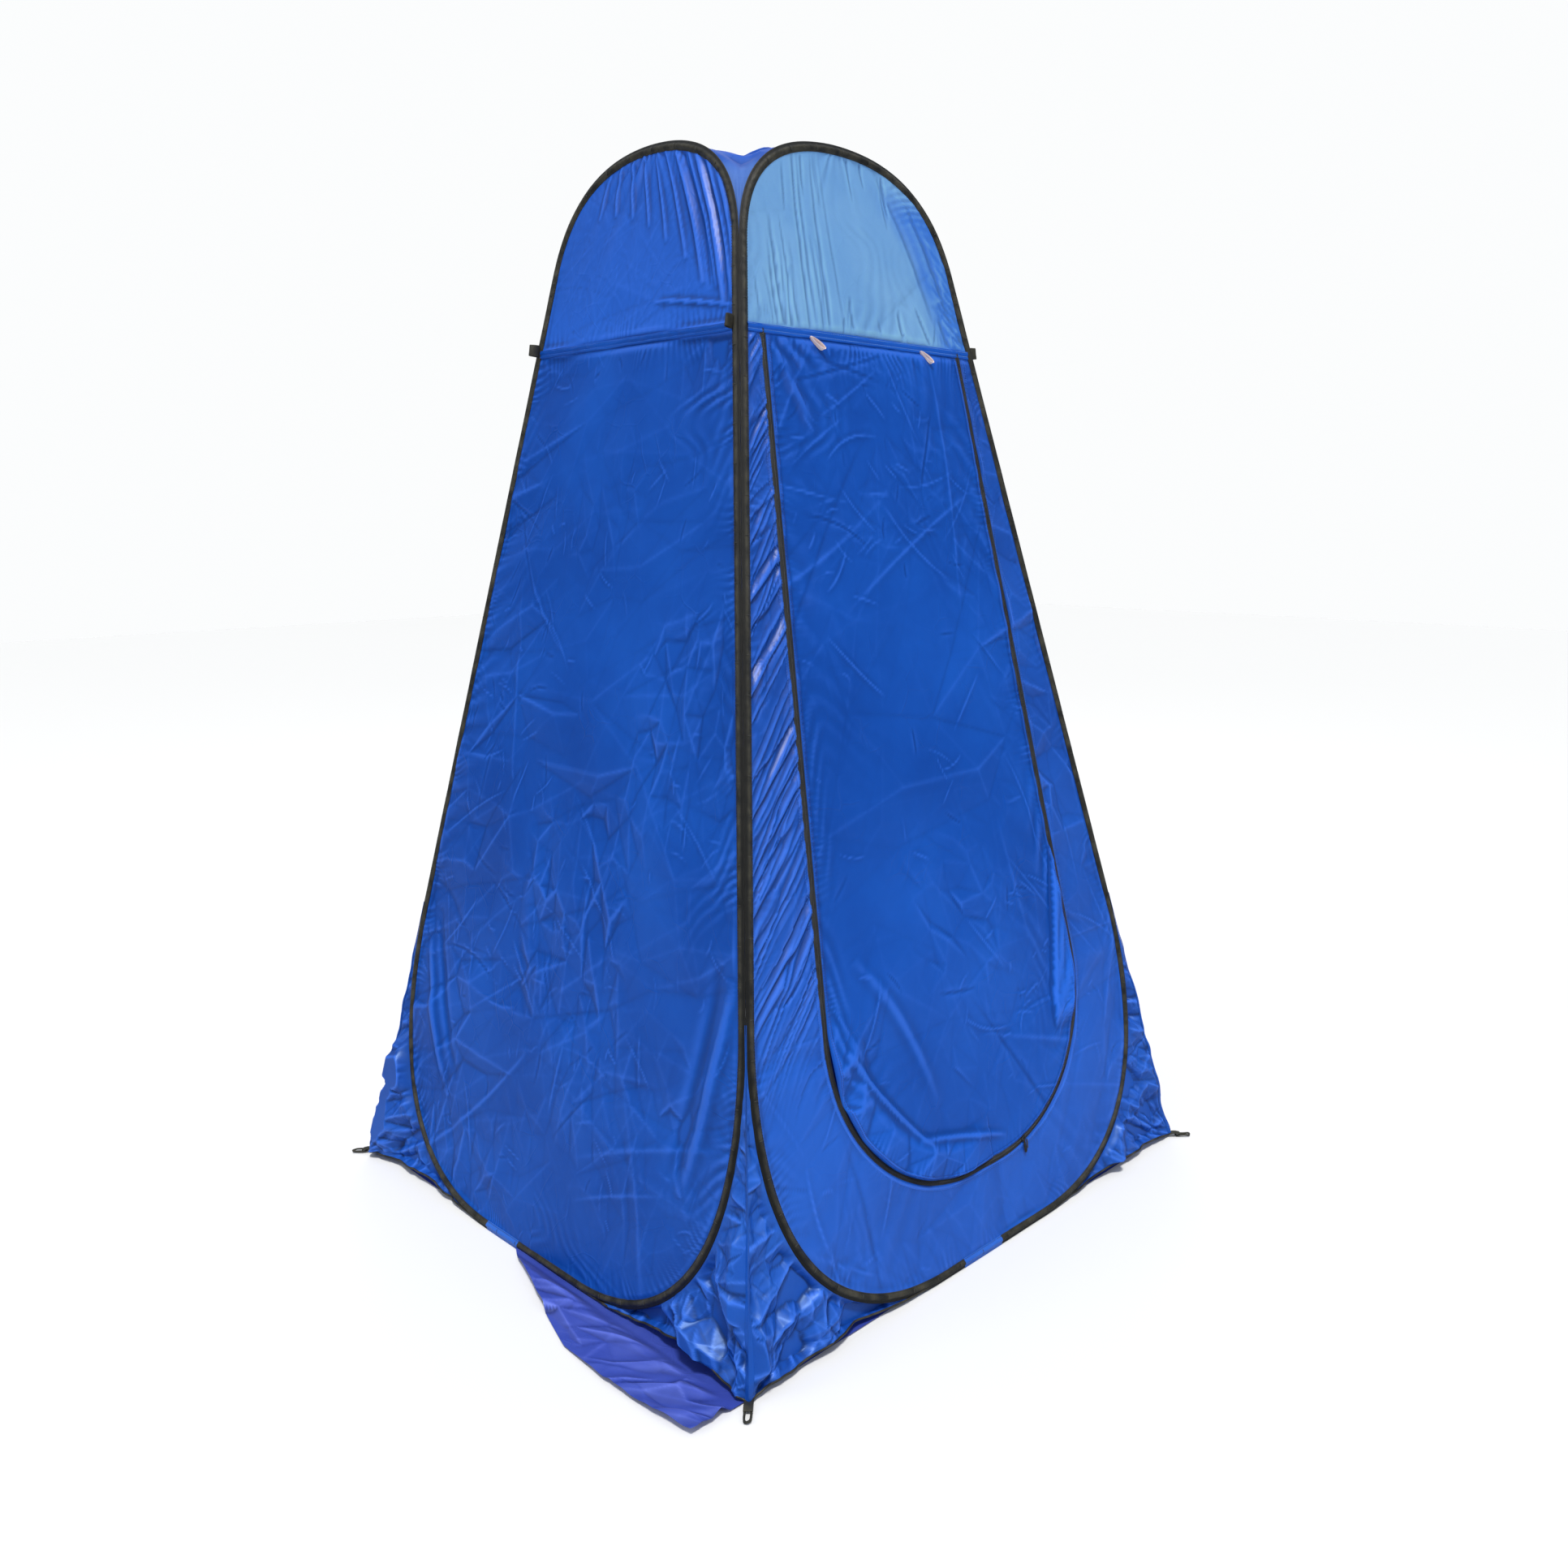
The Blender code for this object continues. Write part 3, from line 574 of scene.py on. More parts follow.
def wave(add, vector, axis, **inputs):
    return add("TexWave", {"Vector": vector, **inputs},
               wave_type="BANDS", bands_direction=axis)["Fac"]


def cloth(name, colour, light, dark, rough, spec, through, through_colour=None, sheen=0.0,
          crease=1.0, ridge=0.35, valley=0.55, tone_colour=(0.012, 0.135, 0.70),
          tint=(1.0, 1.0, 1.0)):
    """Coated taffeta: fine weave, faint set-in creases, cloudy colour, light let through."""
    material, add = new_material(name)
    coords = add("TexCoord")
    place, flat = coords["Object"], coords["UV"]

    # cloudy colour, mottled at thread level
    clouds = add("TexNoise", {"Vector": place, "Scale": 3.1, "Detail": 5.0,
                              "Roughness": 0.6})["Fac"]
    base = colour_ramp(material, clouds, ((0.30, dark), (0.70, light), (0.5, colour)))
    threads = add("TexNoise", {"Vector": flat, "Scale": 900.0, "Detail": 2.0})["Color"]
    base = mix_colour(add, 0.22, base, threads, blend_type="MULTIPLY")

    # weave: two crossed sets of threads
    warp, weft = (wave(add, flat, axis, Scale=190.0, Distortion=0.35, Detail=1.0)
                  for axis in ("X", "Y"))
    weave = add("Math", {0: warp, 1: weft}, operation="MAXIMUM")["Value"]
    normal = bump(add, weave, strength=0.10, distance=0.0002)

    # set-in creases: straight broken lines, only in some areas
    bend = add("TexNoise", {"Vector": place, "Scale": 6.0})["Color"]
    bent = add("VectorMath", {0: bend, 1: (0.10, 0.10, 0.10), 2: place},
               operation="MULTIPLY_ADD")["Vector"]
    edge = add("TexVoronoi", {"Vector": bent, "Scale": 17.0},
               feature="DISTANCE_TO_EDGE")["Distance"]
    line = add("MapRange", {"Value": edge, "From Min": 0.0, "From Max": 0.05,
                            "To Min": 1.0, "To Max": 0.0},
               interpolation_type="SMOOTHERSTEP")["Result"]
    area = add("TexNoise", {"Vector": place, "Scale": 9.0, "Detail": 3.0})["Fac"]
    area = add("MapRange", {"Value": area, "From Min": 0.50, "From Max": 0.66})["Result"]
    lines = add("Math", {0: line, 1: area}, operation="MULTIPLY")["Value"]
    normal = bump(add, lines, strength=0.35 * crease, distance=0.0012, under=normal)
    soft = add("TexNoise", {"Vector": place, "Scale": 38.0, "Detail": 4.0})["Fac"]
    normal = bump(add, soft, strength=0.16 * crease, distance=0.0015, under=normal)

    # second tone by place, on the walls and the roof painted light; then ridges lighter, a painted
    # highlight with pale crease wear, and valleys darker, painted shade
    wear = add("Attribute", attribute_name="wear")["Fac"]
    raised, sunk = (add("Math", {0: wear, 1: gain}, operation="MULTIPLY", use_clamp=True)["Value"]
                    for gain in (ridge, -valley))
    tone = add("Attribute", attribute_name="tone")["Fac"]
    base = mix_colour(add, tone, base, (*tone_colour, 1))
    base = mix_colour(add, raised, base, (*[min(1.0, c * 1.5 + 0.035) for c in light], 1))
    base = mix_colour(add, sunk, base, (*[c * 0.42 for c in dark], 1))

    roughness = add("MapRange", {"Value": clouds, "To Min": rough - 0.05,
                                 "To Max": rough + 0.08})["Result"]
    surface = add("BsdfPrincipled", {
        "Base Color": base, "Roughness": roughness, "Specular IOR Level": spec,
        "Specular Tint": (*tint, 1), "Sheen Weight": sheen, "Sheen Roughness": 0.45,
        "Sheen Tint": (0.75, 0.85, 1.0, 1.0), "Normal": normal})["BSDF"]
    glow = add("BsdfTranslucent", {"Color": (*(through_colour or light), 1),
                                   "Normal": normal})["BSDF"]
    both = add("MixShader", {"Fac": through, 1: surface, 2: glow})["Shader"]
    add("OutputMaterial", {"Surface": both})
    return material


# Near black: painted shade of the dark gap where the hoops' tapes meet.
GAP_SHADE_BLACK = (0.0016, 0.0018, 0.0017, 1)


def webbing(name, colour, light, rough=0.62, rib=240.0, spec=0.45):
    """Woven tape: ribs across, lighter in random blotches, on the binding a painted highlight; the
    tone attribute darkens it almost to black as painted shade.
    """
    material, add = new_material(name)
    coords = add("TexCoord")
    blotch = add("TexNoise", {"Vector": coords["Object"], "Scale": 45.0, "Detail": 6.0})["Fac"]
    base = colour_ramp(material, blotch, ((0.35, colour), (0.72, light)))
    ribs = wave(add, coords["UV"], "X", Scale=rib, Distortion=0.6)
    cross = wave(add, coords["UV"], "Y", Scale=rib * 1.6, Distortion=0.4)
    weave = add("Math", {0: ribs, 1: cross}, operation="MULTIPLY")["Value"]
    normal = bump(add, weave, strength=0.5, distance=0.0004)
    normal = bump(add, blotch, strength=0.4, distance=0.001, under=normal)
    tone = add("Attribute", attribute_name="tone")["Fac"]
    surface = add("BsdfPrincipled", {
        "Base Color": mix_colour(add, tone, base, GAP_SHADE_BLACK), "Roughness": rough,
        "Specular IOR Level": spec, "Sheen Weight": 0.02, "Normal": normal})["BSDF"]
    add("OutputMaterial", {"Surface": surface})
    return material


def solid(name, colour, rough, metal=0.0, grain=60.0):
    """Plastic, thread or steel: fine grain in colour, roughness and relief."""
    material, add = new_material(name)
    place = add("TexCoord")["Object"]
    grains = add("TexNoise", {"Vector": place, "Scale": grain, "Detail": 5.0})["Fac"]
    base = mix_colour(add, grains, (*[c * 0.8 for c in colour], 1),
                      (*[min(1, c * 1.25) for c in colour], 1))
    roughness = add("MapRange", {"Value": grains, "To Min": rough * 0.8,
                                 "To Max": min(1, rough * 1.2)})["Result"]
    surface = add("BsdfPrincipled", {
        "Base Color": base, "Roughness": roughness, "Metallic": metal,
        "Normal": bump(add, grains, strength=0.15, distance=0.0003)})["BSDF"]
    add("OutputMaterial", {"Surface": surface})
    return material


WALL_COLOURS = dict(colour=(0.0028, 0.079, 0.455), light=(0.0050, 0.102, 0.55),
                    dark=(0.0018, 0.060, 0.365), through=0.10, through_colour=(0.01, 0.15, 0.75))
BLUE = cloth("wall_blue_cloth", **WALL_COLOURS, rough=0.36, spec=0.22, valley=0.50, ridge=0.42)
SHINE = cloth("taut_blue_cloth", **WALL_COLOURS, rough=0.38, spec=0.42, valley=0.60, ridge=0.62,
              crease=0.6, tint=(0.92, 0.92, 1.0))
GLOSS = cloth("skirt_blue_cloth", colour=(0.0060, 0.080, 0.455), light=(0.0100, 0.104, 0.54),
              dark=(0.0035, 0.058, 0.36), rough=0.40, crease=0.35, through=0.04,
              through_colour=(0.02, 0.14, 0.75), spec=0.70, valley=0.98, ridge=0.72,
              tint=(0.46, 0.68, 1.0))
# tone_colour, pale lavender: a painted reflection of the sky on the low part of the roof
ROOF = cloth("roof_blue_cloth", colour=(0.008, 0.085, 0.50), light=(0.016, 0.110, 0.58),
             dark=(0.004, 0.062, 0.40), rough=0.50, crease=0.8, through=0.22,
             through_colour=(0.04, 0.20, 0.85), spec=0.12, tone_colour=(0.19, 0.36, 0.75))
PATCH = cloth("sleeve_patch_cloth", colour=(0.020, 0.13, 0.60), light=(0.035, 0.17, 0.68),
              dark=(0.012, 0.10, 0.50), rough=0.30, sheen=0.02, through=0.0, spec=0.5)
# Painted light: the upper front is the same blue cloth lit from behind; its pale colour paints that
# glow, and its tone colour, deep blue, paints shade where no light comes through.
BACKLIT_PALE = cloth("backlit_pale_cloth", colour=(0.205, 0.485, 0.90), light=(0.26, 0.56, 0.95),
             dark=(0.165, 0.42, 0.84), rough=0.40, sheen=0.03, through=0.30,
             through_colour=(0.30, 0.58, 0.95), crease=0.4, spec=0.35, ridge=0.25, valley=0.60,
             tone_colour=(0.045, 0.215, 0.78))
VIOLET = cloth("groundsheet_cloth", colour=(0.046, 0.080, 0.43), light=(0.078, 0.120, 0.52),
               dark=(0.028, 0.048, 0.34), rough=0.31, sheen=0.06, through=0.02,
               through_colour=(0.08, 0.08, 0.6), spec=0.65, valley=0.85, ridge=0.60,
               tint=(0.62, 0.72, 1.0))
# light: lighter olive blotches, a painted highlight of sunlit binding tape
BIND = webbing("binding_tape", colour=(0.0080, 0.0085, 0.0076), light=(0.056, 0.052, 0.036),
               spec=0.34, rough=0.42)
WEB = webbing("loop_webbing", colour=(0.012, 0.012, 0.009), light=(0.050, 0.046, 0.028), rib=170.0)
TAPE = webbing("zip_tape_weave", colour=(0.010, 0.011, 0.012), light=(0.030, 0.032, 0.034),
               rib=300.0)
RIBBON = webbing("ribbon_satin", colour=(0.86, 0.66, 0.62), light=(0.95, 0.84, 0.80), rough=0.4,
                 rib=420.0)
THREAD = solid("seam_thread", (0.010, 0.045, 0.27), rough=0.6, grain=400.0)
THREAD_MID = solid("zip_gather_thread", (0.030, 0.150, 0.62), rough=0.55, grain=400.0)
THREAD_PALE = solid("seam_thread_pale", (0.16, 0.34, 0.66), rough=0.6, grain=400.0)
THREAD_DARK = solid("binding_thread", (0.03, 0.03, 0.028), rough=0.6, grain=400.0)
THREAD_TACK = solid("bar_tack_thread", (0.045, 0.045, 0.040), rough=0.6, grain=400.0)
PLASTIC = solid("zip_plastic", (0.012, 0.012, 0.013), rough=0.34, grain=120.0)
STEEL = solid("spring_steel_wire", (0.42, 0.42, 0.43), rough=0.32, metal=1.0, grain=90.0)


# ------------------------------------------------------------------ wall relief
# Folds: start (across, high), end (across, high), width, height, sideways bow, sharpness
VENT_FOLDS = (
    ((-0.128, 1.595), (-0.112, 1.925), 0.0032, -0.0026, 0.003),
    ((-0.116, 1.595), (-0.101, 1.925), 0.0032, -0.0019, 0.003),
    ((-0.085, 1.595), (-0.070, 1.925), 0.0032, -0.0022, 0.003),
    ((-0.052, 1.595), (-0.050, 1.925), 0.0032, -0.0010, 0.003),
    ((0.070, 1.93), (0.185, 1.66), 0.006, -0.0030, 0.012),
    ((0.110, 1.91), (0.205, 1.68), 0.012, 0.0048, 0.010),
    ((0.150, 1.87), (0.240, 1.65), 0.007, -0.0040, 0.006))
# long taut folds down from the left wall's crown beside its corner, and one along the seam
LEFT_CROWN_FOLDS = (
    ((0.150, 1.925), (0.270, 1.655), 0.007225, 0.0093, 0.014, 0.6),
    ((0.128, 1.930), (0.255, 1.660), 0.0051, 0.0072, 0.013, 0.6),
    ((0.105, 1.935), (0.236, 1.650), 0.006375, 0.0087, 0.012, 0.6),
    ((0.082, 1.940), (0.215, 1.680), 0.00425, 0.0057, 0.010, 0.6),
    ((0.055, 1.940), (0.180, 1.690), 0.005525, 0.0075, 0.009, 0.6),
    ((0.030, 1.940), (0.128, 1.735), 0.00425, 0.0051, 0.006, 0.6),
    ((0.006, 1.940), (0.070, 1.770), 0.00425, 0.0048, 0.004, 0.6),
    ((-0.020, 1.940), (0.018, 1.800), 0.003825, 0.0042, 0.003, 0.6),
    ((-0.045, 1.935), (-0.030, 1.820), 0.003825, 0.0039, 0.0, 0.6),
    ((-0.075, 1.925), (-0.080, 1.830), 0.003825, 0.0036, 0.0, 0.6),
    ((-0.105, 1.910), (-0.125, 1.830), 0.003825, 0.0030, 0.0, 0.6),
    ((0.118, 1.930), (0.245, 1.655), 0.003825, -0.0045, 0.012, 0.6),
    ((0.068, 1.940), (0.198, 1.685), 0.003825, -0.0039, 0.010, 0.6),
    ((0.055, 1.676), (0.262, 1.650), 0.00255, 0.0033, 0.003, 0.6))
LEFT_LOW_FOLDS = (
    ((0.452, 0.62), (0.385, 0.25), 0.014, 0.0080, 0.010),
    ((0.420, 0.64), (0.350, 0.27), 0.014, -0.0055, 0.010),
    ((-0.455, 0.50), (-0.330, 0.20), 0.012, 0.0060, -0.010),
    ((-0.430, 0.56), (-0.300, 0.24), 0.012, -0.0045, -0.010))
FLAP_FOLDS = (
    ((-0.300, 0.46), (-0.130, 0.235), 0.007, 0.0075, -0.010, 0.8),
    ((-0.250, 0.60), (-0.100, 0.30), 0.012, 0.0030, 0.020),
    ((-0.170, 0.262), (0.070, 0.190), 0.007, 0.0060, 0.004, 0.8),
    ((-0.215, 1.585), (-0.165, 1.44), 0.012, 0.0030, 0.008))
# Scattered creases: seed step, count, range of lengths, width, height
CREASES = ((5, 520, (0.02, 0.07), 0.0020, 0.00075),
           (6, 70, (0.08, 0.24), 0.0026, 0.00105),
           (17, 18, (0.25, 0.60), 0.0100, 0.0020))
FRONT_FINE_CREASES = 330
# How rough the crushed relief is, and how much of it is left above the seam
ROUGHNESS = {"front": 0.8, "left": 2.1, "right": 1.6, "back": 1.6}
CALM_ABOVE = {"front": 0.15, "left": 0.20, "right": 0.45, "back": 0.45}


def tuck_right(across, high):
    """Wedge of slack cloth beside the right zip leg: crisp left edge, wider at its foot."""
    left = 0.322 - 0.185 * np.clip(0.735 - high, 0, 1) + 0.10 * np.clip(0.40 - high, 0, 1)
    return (smooth(left - 0.003, left + 0.005, across) * smooth(0.745, 0.66, high)
            * smooth(0.335, 0.375, high))


def tuck_left(across, high):
    """Crumpled tuck that follows the zip's lower left curve."""
    angle = np.arctan2(ZIP_CENTRE[1] + 0.02 - high, -across + 0.02)
    radius = np.hypot(-across - ZIP_CENTRE[0], high - ZIP_CENTRE[1])
    return (smooth(ZIP_RADIUS - 0.085, ZIP_RADIUS - 0.050, radius)
            * np.where(across < 0.02, smooth(-0.15, 0.15, angle), 0.0)
            * smooth(0.06, -0.05, across))


def sheet_relief(side, seed, across, high, hoop_gap, hoop_arc):
    """Bulge, waves, facets, creases and hoop gathers that every wall has."""
    calm = np.where(high > SEAM, CALM_ABOVE[side], 1.0)
    rough = ROUGHNESS[side]
    out = 0.0040 * smooth(0, 0.30, hoop_gap)
    out += 0.0018 * two_octaves(across * 4.2, high * 3.1, seed)
    out += 0.030 * crushed(across, high, seed + 3, 0.120, 0.5 + seed, 1.5)
    zone = 0.35 + 0.65 * smooth(-0.25, 0.35, noise(across * 2.6, high * 2.2, seed + 9))
    out += 0.040 * rough * zone * calm * crushed(across, high, seed + 4, 0.058, 1.1 + seed, 1.8)
    zone = smooth(-0.10, 0.40, noise(across * 3.4, high * 3.0, seed + 10))
    out += (0.048 * rough * zone * calm
            * crushed(across, high, seed + 41, 0.032, 2.2 + seed, 1.6))

    def lively(x, y):
        return 0.22 + 0.78 * float(noise(x * 2.6, y * 2.2, seed + 9) > -0.10)

    for step, count, lengths, width, height in CREASES:
        if side == "front" and step == 5:
            count = FRONT_FINE_CREASES
        out += calm * creases(across, high, seed + step, count, lengths, width, height, lively)
    out += gathers(hoop_gap, hoop_arc, 0.014, 0.017, 0.0010, seed + 7, 0.25) * calm
    out += gathers(hoop_gap, hoop_arc, 0.047, 0.050, 0.0009, seed + 8, 0.55) * calm
    return out


def vent_relief(seed, across, high, hoop_gap, hoop_arc, seam_gap):
    """Front wall above the seam: narrow folds hanging onto the seam and from the hoop."""
    out = gathers(seam_gap, across, 0.0115, 0.020, 0.0009, seed + 14, -0.05)
    out += gathers(seam_gap, across, 0.033, 0.12, 0.0011, seed + 15, -0.08)
    rng = np.random.default_rng(611)
    for i in range(34):
        on_left = i < 22
        foot = rng.uniform(-0.248, -0.090) if on_left else rng.uniform(-0.07, 0.235)
        low = SEAM + rng.uniform(0.002, 0.020)
        tall = rng.uniform(0.05, 0.190) if on_left else rng.uniform(0.02, 0.060)
        lean = rng.normal(0.004, 0.006) if on_left else rng.normal(0, 0.020)
        out += fold(across, high, (foot, low - 0.02), (foot + lean, low + tall),
                    rng.uniform(0.0022, 0.0042), -rng.uniform(0.0010, 0.0026),
                    rng.normal(0, 0.003))
    for _ in range(12):
        head = rng.uniform(-0.15, 0.11)
        drop = abs(head) * 0.45
        end = (head * 1.05, 1.935 - drop - rng.uniform(0.03, 0.08))
        out += fold(across, high, (head, 1.950 - drop), end, 0.0028, -rng.uniform(0.0010, 0.0022))
    out += folds(across, high, VENT_FOLDS)
    edge = smooth(0.085, 0.035, hoop_gap) * smooth(0.08, 0.14, across)
    out += edge * (0.16 * crushed(across, high, seed + 19, 0.026, 0.9, 1.9)
                   + gathers(hoop_gap, hoop_arc, 0.021, 0.060, 0.0014, seed + 20, -0.9))
    return out + (0.05 * smooth(-0.02, 0.10, across) * smooth(0.16, 0.03, seam_gap)
                  * crushed(across, high, seed + 25, 0.034, 0.5, 2.0))


def crown_relief(side, seed, across, high):
    """Rays spreading from the top of a hoop."""
    crown_gap = np.hypot(across, high - 1.935)
    angle = np.arctan2(across, 1.96 - high)
    height = 0.0012 if side == "front" else 0.0024
    return (height * np.sin(angle * 17 + 2.2 * noise(angle * 3, 0.0, seed + 18))
            * np.exp(-crown_gap / 0.10))


def surround_relief(seed, across, high, hoop_gap, hoop_arc, zip_gap, zip_arc):
    """The strip between hoop and zip: diagonal folds, facets and soft low rays."""
    skew = np.where(across < 0, 1.5, -1.2)
    span = np.minimum(hoop_gap, zip_gap)
    # left strip
    busy = (np.where(across < 0, smooth(0.36, 0.66, high) * (1 - 0.25 * smooth(1.25, 1.5, high)),
                     0.0) * smooth(0, 0.012, zip_gap) * smooth(0.0, 0.012, hoop_gap))
    out = busy * drawn(hoop_gap, hoop_arc, 0.046, 0.0088, seed + 21, skew)
    out += busy * drawn(hoop_gap, hoop_arc, 0.021, 0.0026, seed + 27, skew * 1.15)
    out += (busy * 0.10 * smooth(0.0, 0.02, span)
            * crushed(across, high, seed + 28, 0.030, -0.52, 2.6))
    # right strip
    busy = np.where(across > 0, smooth(0.40, 0.80, high), 0.0) * smooth(0, 0.014, span)
    out += busy * 0.17 * crushed(across, high, seed + 33, 0.034, 0.9, 1.8)
    # lower part: a few soft rays from the zip's curve down to the hoop
    low = smooth(0.60, 0.30, high) * smooth(0, 0.02, span)
    out += low * 0.030 * crushed(across, high, seed + 34, 0.060, -0.6, 3.2)
    angle = np.arctan2(high - ZIP_CENTRE[1], np.abs(across) + 0.02)
    rays = (0.0009 * np.sin(angle * 30 + 5 * noise(angle * 4, across * 2, seed + 29))
            * np.clip(0.4 + noise(angle * 7, 1.0, seed + 30), 0, 1) * smooth(0, 0.02, span))
    out += np.where(high < 0.5, rays, 0)
    return out + gathers(zip_gap, zip_arc, 0.0075, 0.010, 0.0008, seed + 22)


def flap_relief(seed, across, high, zip_gap, zip_arc):
    """The cloth between the zip legs: gathers, and slack above the zip's curve."""
    out = gathers(zip_gap, zip_arc, 0.012, 0.014, 0.0008, seed + 23)
    out += gathers(zip_gap, zip_arc, 0.075, 0.060, 0.0016, seed + 24, 0.6)
    right = tuck_right(across, high)
    out += 0.0085 * right + 0.05 * right * crushed(across, high, seed + 35, 0.045, 0.2, 2.2)
    out += (tuck_left(across, high)
            * (0.0070 + 0.20 * crushed(across, high, seed + 36, 0.040, -0.7, 1.7)))
    return out + folds(across, high, FLAP_FOLDS)


def wall_relief(side, across, high):
    """Height of a wall's cloth off its plane."""
    seed = RELIEF_SEED[side]
    hoop_gap, hoop_arc = near(HOOP_LOOP, across, high)
    seam_gap = np.abs(high - SEAM)
    below = high < SEAM
    out = sheet_relief(side, seed, across, high, hoop_gap, hoop_arc)
    out += np.where(below, gathers(seam_gap, across, 0.013, 0.020, 0.0012, seed + 12)
                    + gathers(seam_gap, across, 0.040, 0.085, 0.0020, seed + 13, 0.12), 0)
    if side == "front":
        above = vent_relief(seed, across, high, hoop_gap, hoop_arc, seam_gap)
    else:
        above = gathers(seam_gap, across, 0.013, 0.016, 0.0010, seed + 14)
    above = above + crown_relief(side, seed, across, high)
    if side == "left":
        above = above + folds(across, high, LEFT_CROWN_FOLDS)
        above = above + gathers(1.95 - high, across, 0.0125, 0.030, 0.0012, seed + 31)
        out += folds(across, high, LEFT_LOW_FOLDS)
    out += np.where(below, 0, above)
    if side == "front":
        inside = (np.abs(across) < half_width(ZIP_RIGHT, high)) & (high > ZIP_BOTTOM)
        zip_gap, zip_arc = near(ZIP, across, high)
        out += np.where(below & ~inside, surround_relief(seed, across, high, hoop_gap, hoop_arc,
                                                         zip_gap, zip_arc), 0)
        out += np.where(inside, flap_relief(seed, across, high, zip_gap, zip_arc), 0)
        # flat under the zip tape, with a raised hem beside it
        hem = np.where(below, 0.0012 * np.exp(-((zip_gap - 0.0085) / 0.0028) ** 2), 0)
        out = out * np.where(below, smooth(0.0, 0.010, zip_gap), 1.0) + hem
    out = out * smooth(0.0055, 0.016, seam_gap)
    return np.clip(out * smooth(0.0, 0.014, hoop_gap), -0.0052, 0.026)


def wall_painted_light(side, across, high):
    """Painted light by place: how far the cloth blends to its second tone."""
    if side == "front":
        hoop_gap = near(HOOP_LOOP, across, high)[0]
        # painted shade: near the hoop on the right, the pale backlit cloth turns back to deep blue
        # where no light comes through
        above = (smooth(0.105, 0.030, hoop_gap + 0.022 * noise(across * 22, high * 16, 5))
                 * smooth(0.06, 0.13, across) * smooth(1.90, 1.84, high))
        inside = np.abs(across) < half_width(ZIP_RIGHT, high) - 0.004
        # painted sheen: lighter blue low on the door, most on its slack tucks, and milder on the
        # strip round it, fading out above
        slack = np.maximum(tuck_right(across, high), 0.35 * tuck_left(across, high))
        strip = 0.34 + 0.10 * noise(across * 3, high * 3, 6)
        low = np.where(inside, 0.10 + 0.80 * slack, strip) * smooth(0.95, 0.45, high)
        return np.where(high > SEAM, above, low)
    # painted light: the upper walls are lighter blue, the left one most
    if side == "left":
        return np.where(high > SEAM, 0.55 + 0.2 * noise(across * 4, high * 5, 7), 0.0)
    return np.where(high > SEAM, 0.30, 0.0)


# ------------------------------------------------------------------ wall cloth
ROW_STEP = 0.0042
WALL_KEEP = 0.12                        # handed to flatten with each wall piece
HOOP_LOW, HOOP_HIGH = HOOP_RIGHT[:, 1].min(), HOOP_RIGHT[:, 1].max()


def rows_between(low, high, right):
    """Row heights, from low to high, that follow the arc length of an outline."""
    inner = right[np.argsort(right[:, 1], kind="stable")]
    inner = inner[(inner[:, 1] > low) & (inner[:, 1] < high)]
    ends = [np.array([[half_width(right, at), at]]) for at in (low, high)]
    rows = resample(np.vstack([ends[0], inner, ends[1]]), ROW_STEP)[:, 1]
    rows[0], rows[-1] = low, high
    return rows


def hoop_grid(low, high, cols):
    """A grid filling the hoop between two heights."""
    rows = rows_between(low, high, HOOP_RIGHT)
    across = half_width(HOOP_RIGHT, rows)[:, None] * np.linspace(-1, 1, cols)[None, :]
    return across, np.broadcast_to(rows[:, None], across.shape).copy()


def upper_cloth(side):
    front = side == "front"
    across, high = hoop_grid(SEAM, HOOP_HIGH - 1e-4, 161)
    off = wall_relief(side, across, high)
    # the relief's ridges get a painted highlight and its valleys painted shade; the tone by place
    # is painted light
    obj = build_cloth(side + "_upper_cloth", side, across, high, off, BACKLIT_PALE if front else SHINE,
                      wear=highpass(off) / (0.00045 if front else 0.00032),
                      tone=wall_painted_light(side, across, high))
    mount(obj, side + "_panel",
          side + "_upper_panel", (side, WALL_KEEP))


def lower_cloth(side):
    across, high = hoop_grid(HOOP_LOW + 1e-4, SEAM, 271)
    off = wall_relief(side, across, high)
    # the relief's ridges get a painted highlight and its valleys painted shade
    obj = build_cloth(side + "_lower_cloth", side, across, high, off, BLUE,
                      wear=highpass(off) / 0.00026)
    mount(obj, side + "_panel", side + "_lower_panel", (side, WALL_KEEP))


def front_surround():
    """A U-shaped strip between the zip and the hoop."""
    leg_count, foot_count = ((300, 180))
    foot = ZIP_CENTRE[1] + ZIP_RADIUS * 0.0877          # where the zip's curve begins
    rows = np.linspace(SEAM, foot, leg_count)

    def edge(low_part, right):
        leg = np.stack([half_width(right, rows), rows], 1)
        low = even(np.vstack([leg[-1:], low_part[low_part[:, 1] <= foot]]), foot_count)[1:]
        low[-1, 0] = 0.0
        return mirrored(np.vstack([leg, low]))

    zip_edge = edge(ZIP_RIGHT, ZIP_RIGHT)
    hoop_edge = edge(HOOP_RIGHT[::-1], HOOP_RIGHT)
    span = hoop_edge - zip_edge
    width = np.maximum(np.linalg.norm(span, axis=1), 1e-6)[:, None]
    inner = zip_edge + span / width * 0.0045            # leaves room for the zip
    t = np.linspace(0, 1, 40)
    across = inner[:, 0:1] * (1 - t) + hoop_edge[:, 0:1] * t
    high = inner[:, 1:2] * (1 - t) + hoop_edge[:, 1:2] * t
    off = wall_relief("front", across, high)
    # the relief's ridges get a painted highlight and its valleys painted shade; the tone by place
    # is painted light
    obj = build_cloth("front_surround_cloth", "front", across, high, off, SHINE, flip=True,
                      wear=highpass(off) / 0.0006, tone=wall_painted_light("front", across, high))
    mount(obj, "front_panel", "front_door_surround", ("front", WALL_KEEP))


def door_body(k):
    return "front_panel" if k == 1 else "door_%d" % k


